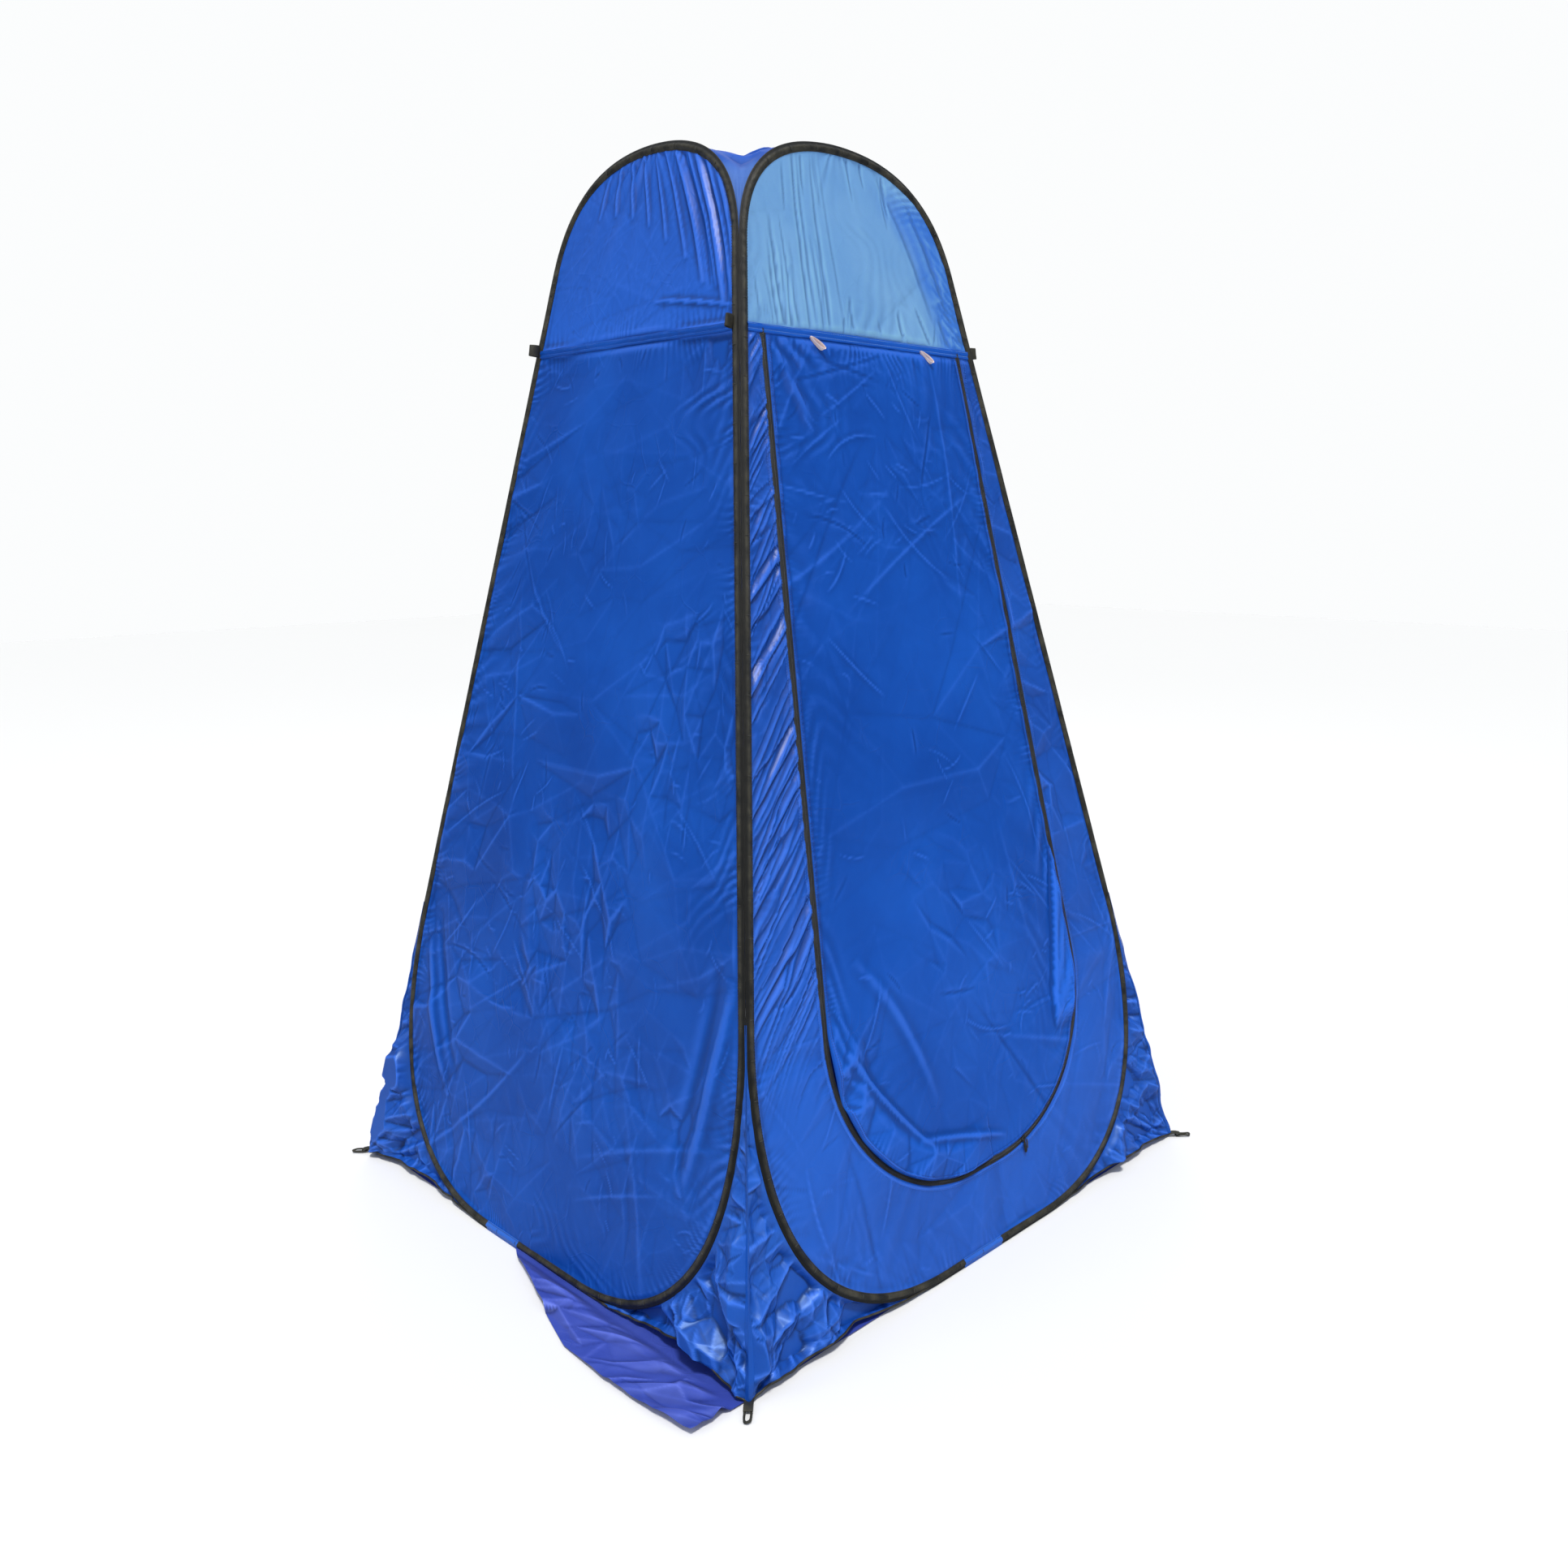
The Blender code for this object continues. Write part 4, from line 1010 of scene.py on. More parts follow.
def door_rows(cuts, right):
    """Row heights from the top down, and the first and last row of each piece."""
    rows, spans = [], []
    for top, bottom in zip(cuts[:-1], cuts[1:]):
        if top - bottom > 0.03:
            piece = rows_between(bottom, top, right)[::-1]
        else:
            piece = np.linspace(top, bottom, 5)
        start = len(rows) - 1 if rows else 0
        rows += list(piece[1:] if rows else piece)
        spans.append((start, len(rows)))
    return np.array(rows), spans


def door_flap():
    """One relief, split at the fold lines into sections and the narrow bends between."""
    zip_gap = 0.0045
    bend_half = 0.0055
    cols = 171
    right = offset(ZIP, -zip_gap, False)
    right = right[:len(right) // 2 + 1]
    cuts = [SEAM]
    for line in DOOR_LINES:
        cuts += [line + bend_half, line - bend_half]
    cuts += [ZIP_BOTTOM + zip_gap]
    rows, spans = door_rows(cuts, right)
    half = half_width(right, rows)
    half[-1] = ZIP_FLAT
    across = half[:, None] * np.linspace(-1, 1, cols)
    high = np.broadcast_to(rows[:, None], across.shape)
    off = wall_relief("front", across, high)
    points = to_world("front", across, high, off)
    normals = vertex_normals(points.reshape(-1, 3), face_grid(*across.shape, flip=True))
    normals = normals.reshape(points.shape)
    uv = np.stack([across, high], -1)
    # the relief's ridges get a painted highlight and its valleys painted shade; the tone by place
    # is painted light
    wear = highpass(off) / 0.00026
    tone = wall_painted_light("front", across, np.minimum(high, SEAM))
    for i, (first, last) in enumerate(spans):
        part = slice(first, last)
        is_bend = i % 2 == 1
        k = i // 2 + 1
        obj = build("door_%s_%d" % ("bend" if is_bend else "cloth", k), points[part],
                    face_grid(last - first, cols, flip=True), BLUE, uv[part], normals[part],
                    wear=wear[part], tone=tone[part])
        if is_bend:
            line = DOOR_LINES[k - 1]
            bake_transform(obj)
        else:
            mount(obj, door_body(k), "door_section_%d" % k)


for side in SIDES:
    upper_cloth(side)
    if side != "front":
        lower_cloth(side)
front_surround()
door_flap()

# ------------------------------------------------------------------ hoops and cross seams
# Section of the binding, in mm: outwards from the wire, off the panel's plane
BEAD = np.array([
    (-5.4, 0.35), (-4.4, 0.75), (-3.2, 1.15), (-1.9, 2.3), (-0.2, 3.55), (1.6, 4.05),
    (3.4, 3.75), (5.0, 2.6), (6.4, 1.25), (8.4, 0.70), (10.7, 0.35),
    (10.7, -0.35), (8.4, -0.70), (6.4, -1.25), (5.0, -2.6), (3.4, -3.4), (1.6, -3.6),
    (-0.2, -3.2), (-1.9, -2.2), (-3.2, -1.15), (-4.4, -0.75), (-5.4, -0.35)]) / 1000.0
BEAD_COLS = np.arange(len(BEAD))[None, :]
WIRE_RADIUS = 0.0015
# Section of the lapped cross seam: up from the seam line, off the plane
LAP = np.array([
    (-0.0072, -0.0006), (-0.0070, 0.0010), (-0.0060, 0.0021), (-0.0044, 0.0023),
    (-0.0030, 0.0016), (-0.0014, 0.0017), (0.0006, 0.0030), (0.0028, 0.0034), (0.0042, 0.0026),
    (0.0052, 0.0030), (0.0064, 0.0026), (0.0070, 0.0012), (0.0072, -0.0004)])
SEAM_ROWS = ((-0.0028, 0.0017), (0.0043, 0.0027))       # stitch rows: up from the seam, off


def grid_uv(along, across):
    return np.stack(np.broadcast_arrays(along, across), -1)


def binding_tape(side):
    """Tape round the hoop, open over the patch, rippled, with a tick every 118 mm."""
    seed, at = TRIM_SEED[side], PATCH_AT[side]
    step = 0.0034
    path = resample(np.vstack([[(at + PATCH_HALF, HOOP_FOOT)], HOOP[1:],
                               [(at - PATCH_HALF, HOOP_FOOT)]]), step)
    along = (np.arange(len(path)) * step)[:, None]
    near_top = smooth(1.60, 1.78, path[:, 1])[:, None]
    thick = (1 + 0.10 * noise(along / 0.021, BEAD_COLS * 0.35, seed)
             + 0.05 * noise(along / 0.009, BEAD_COLS * 0.5, seed + 1))
    ribs = np.sin(2 * np.pi * (along / 0.0145 + 0.5 * noise(along / 0.05, 0.0, seed + 6)
                               + BEAD_COLS * 0.06))
    thick = thick + ribs * (0.06 + 0.085 * near_top)
    tick = np.exp(-((along % 0.118 - 0.059) / 0.004) ** 2) * 0.10
    points = sweep(side, path, BEAD, False, off_scale=thick - tick,
                   out_scale=1 + 0.03 * noise(along / 0.05, 0.0, seed + 2))
    # painted shade: the outer flange is darkened almost to black, for the dark gap where two hoops'
    # tapes meet
    outer = np.clip((BEAD[:, 0] - 0.0040) / 0.0018, 0, 1) * 0.9
    obj = build(side + "_binding_tape", points, ring_faces(len(path), len(BEAD), False), BIND,
                grid_uv(along, BEAD_COLS * 0.0022),
                tone=np.broadcast_to(outer[None, :], points.shape[:2]))
    mount(obj, side + "_panel", side + "_hoop_sleeve")


def sleeve_patch(side):
    """Blue patch over the hoop's ferrule."""
    rows, half = 40, PATCH_HALF + 0.003
    at = PATCH_AT[side]
    path = np.linspace((at + half, HOOP_FOOT), (at - half, HOOP_FOOT), rows)[::-1]
    along = np.linspace(0, 2 * half, rows)[:, None]
    thick = 1 + 0.16 * noise(along / 0.012, BEAD_COLS * 0.5, TRIM_SEED[side] + 4)
    obj = build(side + "_patch_cloth", sweep(side, path, BEAD * 1.08, False, off_scale=thick),
                ring_faces(rows, len(BEAD), False), PATCH, grid_uv(along, BEAD_COLS * 0.002))
    mount(obj, side + "_panel", side + "_sleeve_patch")


def steel_wire(side):
    angle = np.linspace(0, 2 * np.pi, 8, endpoint=False)
    section = np.stack([WIRE_RADIUS * np.cos(angle), WIRE_RADIUS * np.sin(angle)], 1)
    path = resample(HOOP, 0.02, True)
    obj = build(side + "_steel_wire", sweep(side, path, section, True),
                ring_faces(len(path), 8, True), STEEL)
    mount(obj, side + "_panel", side + "_hoop_wire")


def binding_stitches(side):
    """Stitches along the inner edge of the tape, and bar tacks across it."""
    seed = TRIM_SEED[side]
    stitches = dashes(side, HOOP_LOOP, inset=-0.0045, off=0.0011, pitch=0.0046, length=0.0031,
                      wide=0.0007, tall=0.0006, seed=seed)
    mount(build(side + "_binding_stitches", *stitches, THREAD_DARK), side + "_panel")
    tacks = dashes(side, HOOP_LOOP, inset=0.0012, off=0.0038, pitch=0.062, length=0.0085,
                   wide=0.0012, tall=0.0009, seed=seed + 30, slant=math.pi / 2)
    mount(build(side + "_binding_tacks", *tacks, THREAD_TACK), side + "_panel")


def cross_seam(side):
    """Lapped edge with two rows of stitches."""
    seed, front = TRIM_SEED[side], side == "front"
    half = float(half_width(HOOP_RIGHT, SEAM)) - 0.004
    along = np.linspace(-half, half, 150)
    line = np.stack([along, np.full_like(along, SEAM)], 1)
    along = along[:, None]
    up_lap, off_lap = LAP[None, :, 0], LAP[None, :, 1]
    across = along + 0 * up_lap
    high = SEAM + up_lap + 0.0006 * noise(along * 30, 0.0, seed + 9)
    off = off_lap * (1 + 0.30 * noise(along * 70, up_lap * 120, seed + 10))
    obj = build_cloth(side + "_cross_seam", side, across, high, off, BLUE,
                      tone=np.full(across.shape, 0.35 if front else 0.05))
    mount(obj, side + "_panel")
    stitches = join([dashes(side, line + [0, shift], inset=0, off=row_off, pitch=0.0042,
                            length=0.0028, wide=0.0007, tall=0.0006, seed=seed + i)
                     for i, (shift, row_off) in enumerate(SEAM_ROWS)])
    mount(build(side + "_cross_stitches", *stitches, THREAD_PALE if front else THREAD_MID),
          side + "_panel")


for side in SIDES:
    binding_tape(side)
    sleeve_patch(side)
    steel_wire(side)
    binding_stitches(side)
    cross_seam(side)

for side in SIDES:
    ferrule_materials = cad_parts[side + "_hoop_ferrule"].data.materials
    ferrule_materials.clear()
    ferrule_materials.append(STEEL)

# ------------------------------------------------------------------ zip: tapes, teeth, stitches
# The side of the zip is +1 for the surround's half and -1 for the door's half.
ZIP_STEP = 0.004
TOOTH_PITCH = 0.0030
ZIP_PATH = resample(ZIP, ZIP_STEP)
TAPE_OUT = np.array([0.0002, 0.0014, 0.0030, 0.0050, 0.0066])       # away from the centre line
TAPE_OFF = np.array([0.0012, 0.0015, 0.0013, 0.0010, 0.0002])
# Door sections, from the top down, lie between these heights
SECTION_ENDS = [SEAM + 1e-3] + DOOR_LINES + [0.0]


def zip_strip(sign):
    """Points of the half of the tape on one side of the centre line."""
    normal = path_normals(ZIP_PATH, False)
    return to_world("front", ZIP_PATH[:, 0:1] + normal[:, 0:1] * TAPE_OUT * sign,
                    ZIP_PATH[:, 1:2] + normal[:, 1:2] * TAPE_OUT * sign, TAPE_OFF)


def teeth(name, sign, body, low, high):
    """Each tooth is a small hump: four rows of four points."""
    path = resample(ZIP, TOOTH_PITCH)
    normal = path_normals(path, False)
    along = np.stack([-normal[:, 1], normal[:, 0]], 1)
    centre = path + along * (0.25 * TOOTH_PITCH * sign)
    kept = (centre[:, 1] > low) & (centre[:, 1] <= high)
    centre, normal, along = centre[kept], normal[kept], along[kept]
    inner, outer = -0.0008, 0.0021
    hump = []                                           # along, away from the line, off
    for step in (-0.36, -0.15, 0.15, 0.36):
        tall = 1.0 if abs(step) < 0.2 else 0.45
        for out, rise in ((inner, 0.0), (inner * 0.6, 1.0), (outer * 0.7, 0.95), (outer, 0.0)):
            hump.append((step * TOOTH_PITCH, out * sign, 0.0012 + 0.0016 * rise * tall))
    across, up_slope = (np.stack([centre[:, k] + along[:, k] * step + normal[:, k] * out
                                  for step, out, _ in hump], 1) for k in range(2))
    faces = np.vstack([face_grid(4, 4), [[0, 12, 15, 3]]])
    obj = build(name, to_world("front", across, up_slope, np.array([row[2] for row in hump])),
                repeated(faces, len(centre)), PLASTIC)
    mount(obj, body)


def zip_frame_side():
    obj = build("zip_tape_frame_side", zip_strip(1), face_grid(len(ZIP_PATH), 5), TAPE,
                grid_uv(np.arange(len(ZIP_PATH))[:, None] * ZIP_STEP,
                        np.arange(5)[None] * 0.0016))
    mount(obj, "front_panel", "zip_tape")
    teeth("zip_coil_frame_side", 1, "front_panel", 0.0, 3.0)


def zip_door_side():
    """One length of tape and teeth for each door section."""
    strip = zip_strip(-1)
    heights = ZIP_PATH[:, 1]
    for k, (top, low) in enumerate(zip(SECTION_ENDS[:-1], SECTION_ENDS[1:]), 1):
        rows = np.where((heights <= top + ZIP_STEP * 0.5) & (heights >= low - ZIP_STEP * 0.5))[0]
        runs = np.split(rows, np.where(np.diff(rows) > 1)[0] + 1)
        points, faces = join([(strip[run], face_grid(len(run), 5, flip=True)) for run in runs])
        obj = build("zip_tape_door_side_%d" % k, points, faces, TAPE, np.zeros((len(points), 2)))
        mount(obj, door_body(k))
        teeth("zip_coil_door_side_%d" % k, -1, door_body(k), low, top)


def front_relief(across, high):
    return wall_relief("front", across[None], high[None])[0]


def zip_stitches(name, body, thread, insets, seed, limit=None):
    rows = [dashes("front", ZIP, inset, off=0.0004, pitch=0.0044, length=0.0029, wide=0.0008,
                   tall=0.0007, seed=seed + i, relief=front_relief, limit=limit)
            for i, inset in enumerate(insets)]
    mount(build(name, *join(rows), thread), body)


zip_frame_side()
zip_door_side()
zip_stitches("zip_stitches_frame_side", "front_panel", THREAD_MID, (-0.0080, -0.0125), seed=40)
for k in range(1, DOOR_FOLDS + 2):
    stitch_top, stitch_low = SECTION_ENDS[k - 1] - 0.004, SECTION_ENDS[k] + 0.004
    zip_stitches("zip_stitches_door_side_%d" % k, door_body(k), THREAD, (0.0080, 0.0120), seed=50,
                 limit=lambda x, y: (y < stitch_top) & (y > stitch_low))

# ------------------------------------------------------------------ roof
ROOF_OFF = -0.0010
ROOF_BOX = (-0.6, 1.8, -2.2, 0.4)
ROOF_ARC_ROWS, ROOF_COLS = ((84, 34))
# from the right-hand join of the hoops to the crown
ROOF_EDGE = offset(HOOP, -0.0060)[CROWN_START:HALF_COUNT]
ROOF_EDGE[-1, 0] = 0.0
ROOF_EDGE = even(ROOF_EDGE, ROOF_ARC_ROWS)


def bilinear(origin, end_s, far, end_t, count):
    """A flat patch from its corners at (0, 0), (1, 0), (1, 1) and (0, 1)."""
    s, t = np.meshgrid(np.linspace(0, 1, count), np.linspace(0, 1, count), indexing="ij")
    s, t = s[..., None], t[..., None]
    return (origin * (1 - s) * (1 - t) + end_s * s * (1 - t) + far * s * t
            + end_t * (1 - s) * t)


def roof_grids():
    """Grids of each side's quarter: half of each neighbouring corner, and a piece of the top."""
    around = ("front", "right", "back", "left")
    parts = {side: [] for side in SIDES}
    tops = {side: to_world(side, 0.0, ROOF_EDGE[-1, 1], ROOF_OFF) for side in SIDES}
    centre = np.array([0, 0, tops["front"][2] - 0.004])
    middles = []
    t = np.linspace(0, 1, ROOF_COLS)[None, :, None]
    for k in range(4):
        here, beyond = around[k], around[(k + 1) % 4]
        right_arc = to_world(here, ROOF_EDGE[:, 0], ROOF_EDGE[:, 1], ROOF_OFF)
        left_arc = to_world(beyond, -ROOF_EDGE[:, 0], ROOF_EDGE[:, 1], ROOF_OFF)
        middle = (right_arc + left_arc) / 2
        middles.append(middle[-1])
        parts[here].append(right_arc[:, None] * (1 - t) + middle[:, None] * t)
        parts[beyond].append(middle[:, None] * (1 - t) + left_arc[:, None] * t)
    for k, side in enumerate(around):
        parts[side].append(bilinear(tops[side], middles[k], centre, middles[(k - 1) % 4],
                                    ROOF_COLS))
    return parts


def roof_mesh():
    """Points, faces and face owners of the whole roof, with coincident points merged."""
    all_points, all_faces, owners, total = [], [], [], 0
    for side, grids in roof_grids().items():
        for grid in grids:
            faces = face_grid(grid.shape[0], grid.shape[1])
            points = grid.reshape(-1, 3)
            facing = np.cross(points[faces[:, 2]] - points[faces[:, 0]],
                              points[faces[:, 3]] - points[faces[:, 1]]).sum(0)
            if facing[2] < 0:
                faces = faces[:, ::-1]
            all_points.append(points)
            all_faces.append(faces + total)
            owners += [side] * len(faces)
            total += len(points)
    all_points, all_faces = np.vstack(all_points), np.vstack(all_faces)
    rounded = np.round(all_points * 20000).astype(np.int64)
    _, first, index = np.unique(rounded, axis=0, return_index=True, return_inverse=True)
    points, faces = all_points[first].copy(), index.ravel()[all_faces]
    whole = np.array([len(set(face)) == 4 for face in faces])       # drop collapsed quads
    return points, faces[whole], np.array(owners)[whole]


def hoop_distance(points):
    """Distance from each roof point to the nearest hoop point."""
    gap = np.full(len(points), 1.0)
    arch = mirrored(ROOF_EDGE)
    for side in SIDES:
        edge = to_world(side, arch[:, 0], arch[:, 1], ROOF_OFF)
        for i in range(0, len(points), 2000):
            found = np.linalg.norm(points[i:i + 2000, None] - edge[None], axis=2).min(1)
            gap[i:i + 2000] = np.minimum(gap[i:i + 2000], found)
    return gap


def roof():
    """Four quarters cut from one relief: it sags and wrinkles, fading at the hoops."""
    points, faces, owners = roof_mesh()
    edge_gap = hoop_distance(points)
    x, y, z = points.T
    fade = smooth(0.0, 0.05, edge_gap)

    def wrinkle(seed, size, angle, stretch):
        return crushed(x + z * 0.6, y - z * 0.8, seed, size, angle, stretch, ROOF_BOX)

    sag = -0.020 * smooth(0.0, 0.13, edge_gap)
    sag += fade * (0.0025 * two_octaves(x * 7, y * 7 + z * 7, 71)
                   + 0.16 * wrinkle(77, 0.085, 0.4, 1.3) + 0.14 * wrinkle(78, 0.040, 1.9, 1.4))
    diagonal_gap = np.abs(np.abs(x) - np.abs(y))
    sag += (smooth(1.86, 1.72, z) * 0.0022
            * np.sin(diagonal_gap * 420 + 2 * noise(x * 20, z * 20, 79))
            * smooth(0, 0.01, edge_gap))
    fine = 0.20 * wrinkle(87, 0.020, 0.7, 1.5) * fade
    moved = points + vertex_normals(points, faces) * (sag + fine)[:, None]
    normals = vertex_normals(moved, faces)
    patchy = 0.012 * noise(x * 40, y * 40, 83)
    for side in SIDES:
        used, local = np.unique(faces[owners == side], return_inverse=True)
        own = moved[used]
        # painted light: ridges of the fine wrinkles get a painted highlight and their valleys
        # painted shade; the low part of the roof takes the pale tone, a painted reflection of the
        # sky
        obj = build(side + "_roof_quarter", own, local.reshape(-1, 4), ROOF,
                    np.stack([own[:, 0] + own[:, 2], own[:, 1]], 1), normals[used],
                    wear=np.clip(0.8 * fine[used] / 0.0030, -1, 1),
                    tone=smooth(1.872, 1.820, own[:, 2] + patchy[used]) * 0.45)
        mount(obj, side + "_panel", "roof_panel" if side == "front" else None,
              (side, 0.03, 1.8, -0.001))


roof()

# ------------------------------------------------------------------ skirts
# Cloth filling each lower corner, between the hoop, the corner seam and the ground
SKIRT_KEEP = 0.08
SKIRT_ROWS, SKIRT_COLS = ((280, 118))
CORNER_ROW = int(SKIRT_ROWS * 0.62)             # the row that ends at the base corner
SKIRT_BOX = (-0.05, 0.70, -0.05, 0.62)
SEAM_INSET, GROUND_GAP = 0.0006, 0.0045
LIFTS = {("left", "right"): 0.045, ("front", "left"): 0.012}    # how far the hem rises
PLAIN_LIFT = 0.015
# inner edge, along the hoop from the corner seam's top down to the ground
SKIRT_INNER = even(offset(HOOP, -0.0085)[1:CROWN_START][::-1], SKIRT_ROWS)
# outer edge, down the corner seam and back along the ground
SKIRT_TOP = np.array([BASE_HALF - SKIRT_INNER[0, 1] * SIN - SEAM_INSET, SKIRT_INNER[0, 1]])
SKIRT_CORNER = np.array([BASE_HALF - SEAM_INSET, GROUND_GAP])
SKIRT_END = np.array([SKIRT_INNER[-1, 0] - 0.02, GROUND_GAP])
SKIRT_OUTER = np.vstack([
    np.linspace(SKIRT_TOP, SKIRT_CORNER, CORNER_ROW),
    np.linspace(SKIRT_CORNER, SKIRT_END, SKIRT_ROWS - CORNER_ROW + 1)[1:]])
GROUND_PART = np.clip((np.arange(SKIRT_ROWS) - CORNER_ROW) / (SKIRT_ROWS - CORNER_ROW), 0, 1)


def skirt_hem_line(lift, seed):
    """The outer edge with its wavy hem lifted off the ground."""
    outer = SKIRT_OUTER.copy()
    hem = lift * np.sin(np.pi * GROUND_PART ** 1.25) ** 0.9 * (GROUND_PART > 0)
    hem = hem + 0.0035 * (1 + noise(outer[:, 0] * 26, 0.0, seed)) * smooth(0, 0.08, GROUND_PART)
    room = np.maximum(0.0, (SKIRT_INNER[:, 1] - outer[:, 1]) * 0.7)
    outer[:, 1] += np.minimum(hem, room)
    return outer


def skirt_relief(across, high, seed, width, part, to_seam):
    """width is each row's length, part how far along it a point lies from the hoop."""
    from_hoop = width * part
    body = smooth(0, 0.020, from_hoop)
    loose = smooth(0, 0.09, width)
    slim = smooth(0, 0.045, width)
    out = loose * 0.31 * crushed(across, high, seed, 0.105, 0.75, 1.3, SKIRT_BOX)
    out = out + loose * 0.42 * crushed(across, high, seed + 3, 0.056, 0.35, 1.6, SKIRT_BOX)
    out = out + slim * 0.52 * crushed(across, high, seed + 6, 0.031, 1.20, 1.7, SKIRT_BOX)
    out = out + slim * 0.36 * crushed(across, high, seed + 12, 0.017, 0.55, 1.6, SKIRT_BOX)
    # folds drawn down to the base corner and gathered by the corner seam
    radius = np.hypot(BASE_HALF - across, high)
    angle = np.arctan2(high, np.maximum(BASE_HALF - across, 1e-4))
    ray = (angle * 9.0 + 0.8 * noise(angle * 3, radius * 9, seed + 8)) * 0.62
    strength = np.clip(0.35 + 1.3 * noise(angle * 2.3 + seed, radius * 5, seed + 11), 0, 1)
    out = out + (0.0040 * strength * loose * (2 * np.abs(2 * (ray - np.floor(ray)) - 1) - 1)
                 * smooth(0.01, 0.10, radius) * np.exp(-radius / 0.22))
    out = out + slim * drawn(to_seam, high, 0.050, 0.0045, seed + 9, 0.7) * np.exp(-to_seam / 0.05)
    # calmer near the hem, sunk beside the hoop
    from_hem = width * (1 - part) + 0.05 * (1 - smooth(0.0, 0.06, GROUND_PART))[:, None]
    out = out * (0.30 + 0.70 * smooth(0.0, 0.045, from_hem))
    out = (out * body - 0.008 * body * np.exp(-from_hoop / 0.045) * loose
           + 0.006 * loose * smooth(0.03, 0.09, from_hoop))
    return np.clip(out, -0.016, 0.026)


def skirt_hem(name, side, edge):
    """Rolled hem along the ground."""
    angle = np.linspace(0, 2 * np.pi, 8, endpoint=False)[None, :, None]
    tube = (edge[:, None] + 0.0020 * np.cos(angle) * np.array(NORMAL[side])
            + 0.0022 * np.sin(angle) * np.array([0, 0, 1.0]))
    tube[..., 2] += 0.0012
    obj = build(name, tube, ring_faces(len(edge), 8, False), BIND, np.zeros((len(edge) * 8, 2)))
    mount(obj, side + "_panel", folding=(side, SKIRT_KEEP))


def corner_seam(name, side, sign, points, diagonal):
    """Narrow standing lip up the corner, one half on each panel."""
    normal = np.array(NORMAL[side])
    lip = points[:CORNER_ROW, -1]
    stand = 0.0022 * smooth(0.54, 0.40, SKIRT_OUTER[:CORNER_ROW, 1])
    ridge = lip + diagonal * stand[:, None]
    back = points[:CORNER_ROW, -1 - SKIRT_COLS // 22]
    strip = np.stack([back + normal * 0.0008, (lip + back) / 2 + normal * 0.0016, ridge], 1)
    obj = build(name, strip, face_grid(CORNER_ROW, 3, flip=(sign > 0)), GLOSS,
                np.zeros((CORNER_ROW * 3, 2)))
    mount(obj, side + "_panel", folding=(side, SKIRT_KEEP))


def skirt(side, word, sign):
    seed = 100 + 7 * SIDES.index(side) + (3 if sign > 0 else 0)
    outer = skirt_hem_line(LIFTS.get((side, word), PLAIN_LIFT), seed)
    part = np.linspace(0, 1, SKIRT_COLS)[None, :]
    across = SKIRT_INNER[:, 0:1] * (1 - part) + outer[:, 0:1] * part
    high = SKIRT_INNER[:, 1:2] * (1 - part) + outer[:, 1:2] * part
    width = np.linalg.norm(SKIRT_INNER - outer, axis=1)[:, None]
    to_seam = np.maximum(0.0, (BASE_HALF - high * SIN) - across)
    relief = skirt_relief(across, high, seed, width, part, to_seam)
    # at the corner both panels' edges move together, along the diagonal
    at_seam = 1 - smooth(0.0, 0.020, to_seam)
    points = to_world(side, across * sign, high, relief * (1 - at_seam))
    sign_x, sign_y = np.sign(points[CORNER_ROW // 2, -1, :2])
    corner_seed = int(300 + 2 * (sign_x > 0) + (sign_y > 0))
    shift = (0.0050 * noise(high * 15, 0.0, corner_seed)
             + 0.0018 * noise(high * 38, 0.0, corner_seed + 4))
    shift = shift * smooth(0.50, 0.38, high) * smooth(0.0, 0.05, high)
    points[..., 0] += sign_x * shift * at_seam * 0.7
    points[..., 1] += sign_y * shift * at_seam * 0.7
    points[..., 2] = np.maximum(points[..., 2], 0.0026)
    name = "%s_skirt_cloth_%s" % (side, word)
    # the relief's ridges get a painted highlight and its valleys painted shade
    obj = build(name, points, face_grid(SKIRT_ROWS, SKIRT_COLS, flip=(sign > 0)), GLOSS,
                np.stack([across, high], -1), wear=highpass(relief) / 0.0009)
    mount(obj, side + "_panel", "%s_skirt_%s" % (side, word), (side, SKIRT_KEEP))
    skirt_hem(name + "_hem", side, points[CORNER_ROW - 2:, -1])
    corner_seam(name + "_seam", side, sign, points, np.array([sign_x, sign_y, 0.0]))


for side in SIDES:
    for word, sign in (("left", -1), ("right", 1)):
        skirt(side, word, sign)

# ------------------------------------------------------------------ groundsheet
# The left edge is drawn out from under the wall, most towards the front corner: y, x
SHEET_EDGE = np.array([(-0.590, -0.702), (-0.513, -0.711), (-0.391, -0.7145), (-0.272, -0.707),
                       (-0.117, -0.660), (-0.002, -0.622), (0.060, -0.592), (0.590, -0.585)])
SHEET_BOX, SHEET_INNER_BOX = (-0.75, 0.5, -0.62, 0.62), (-0.75, 0.55, -0.65, 0.65)


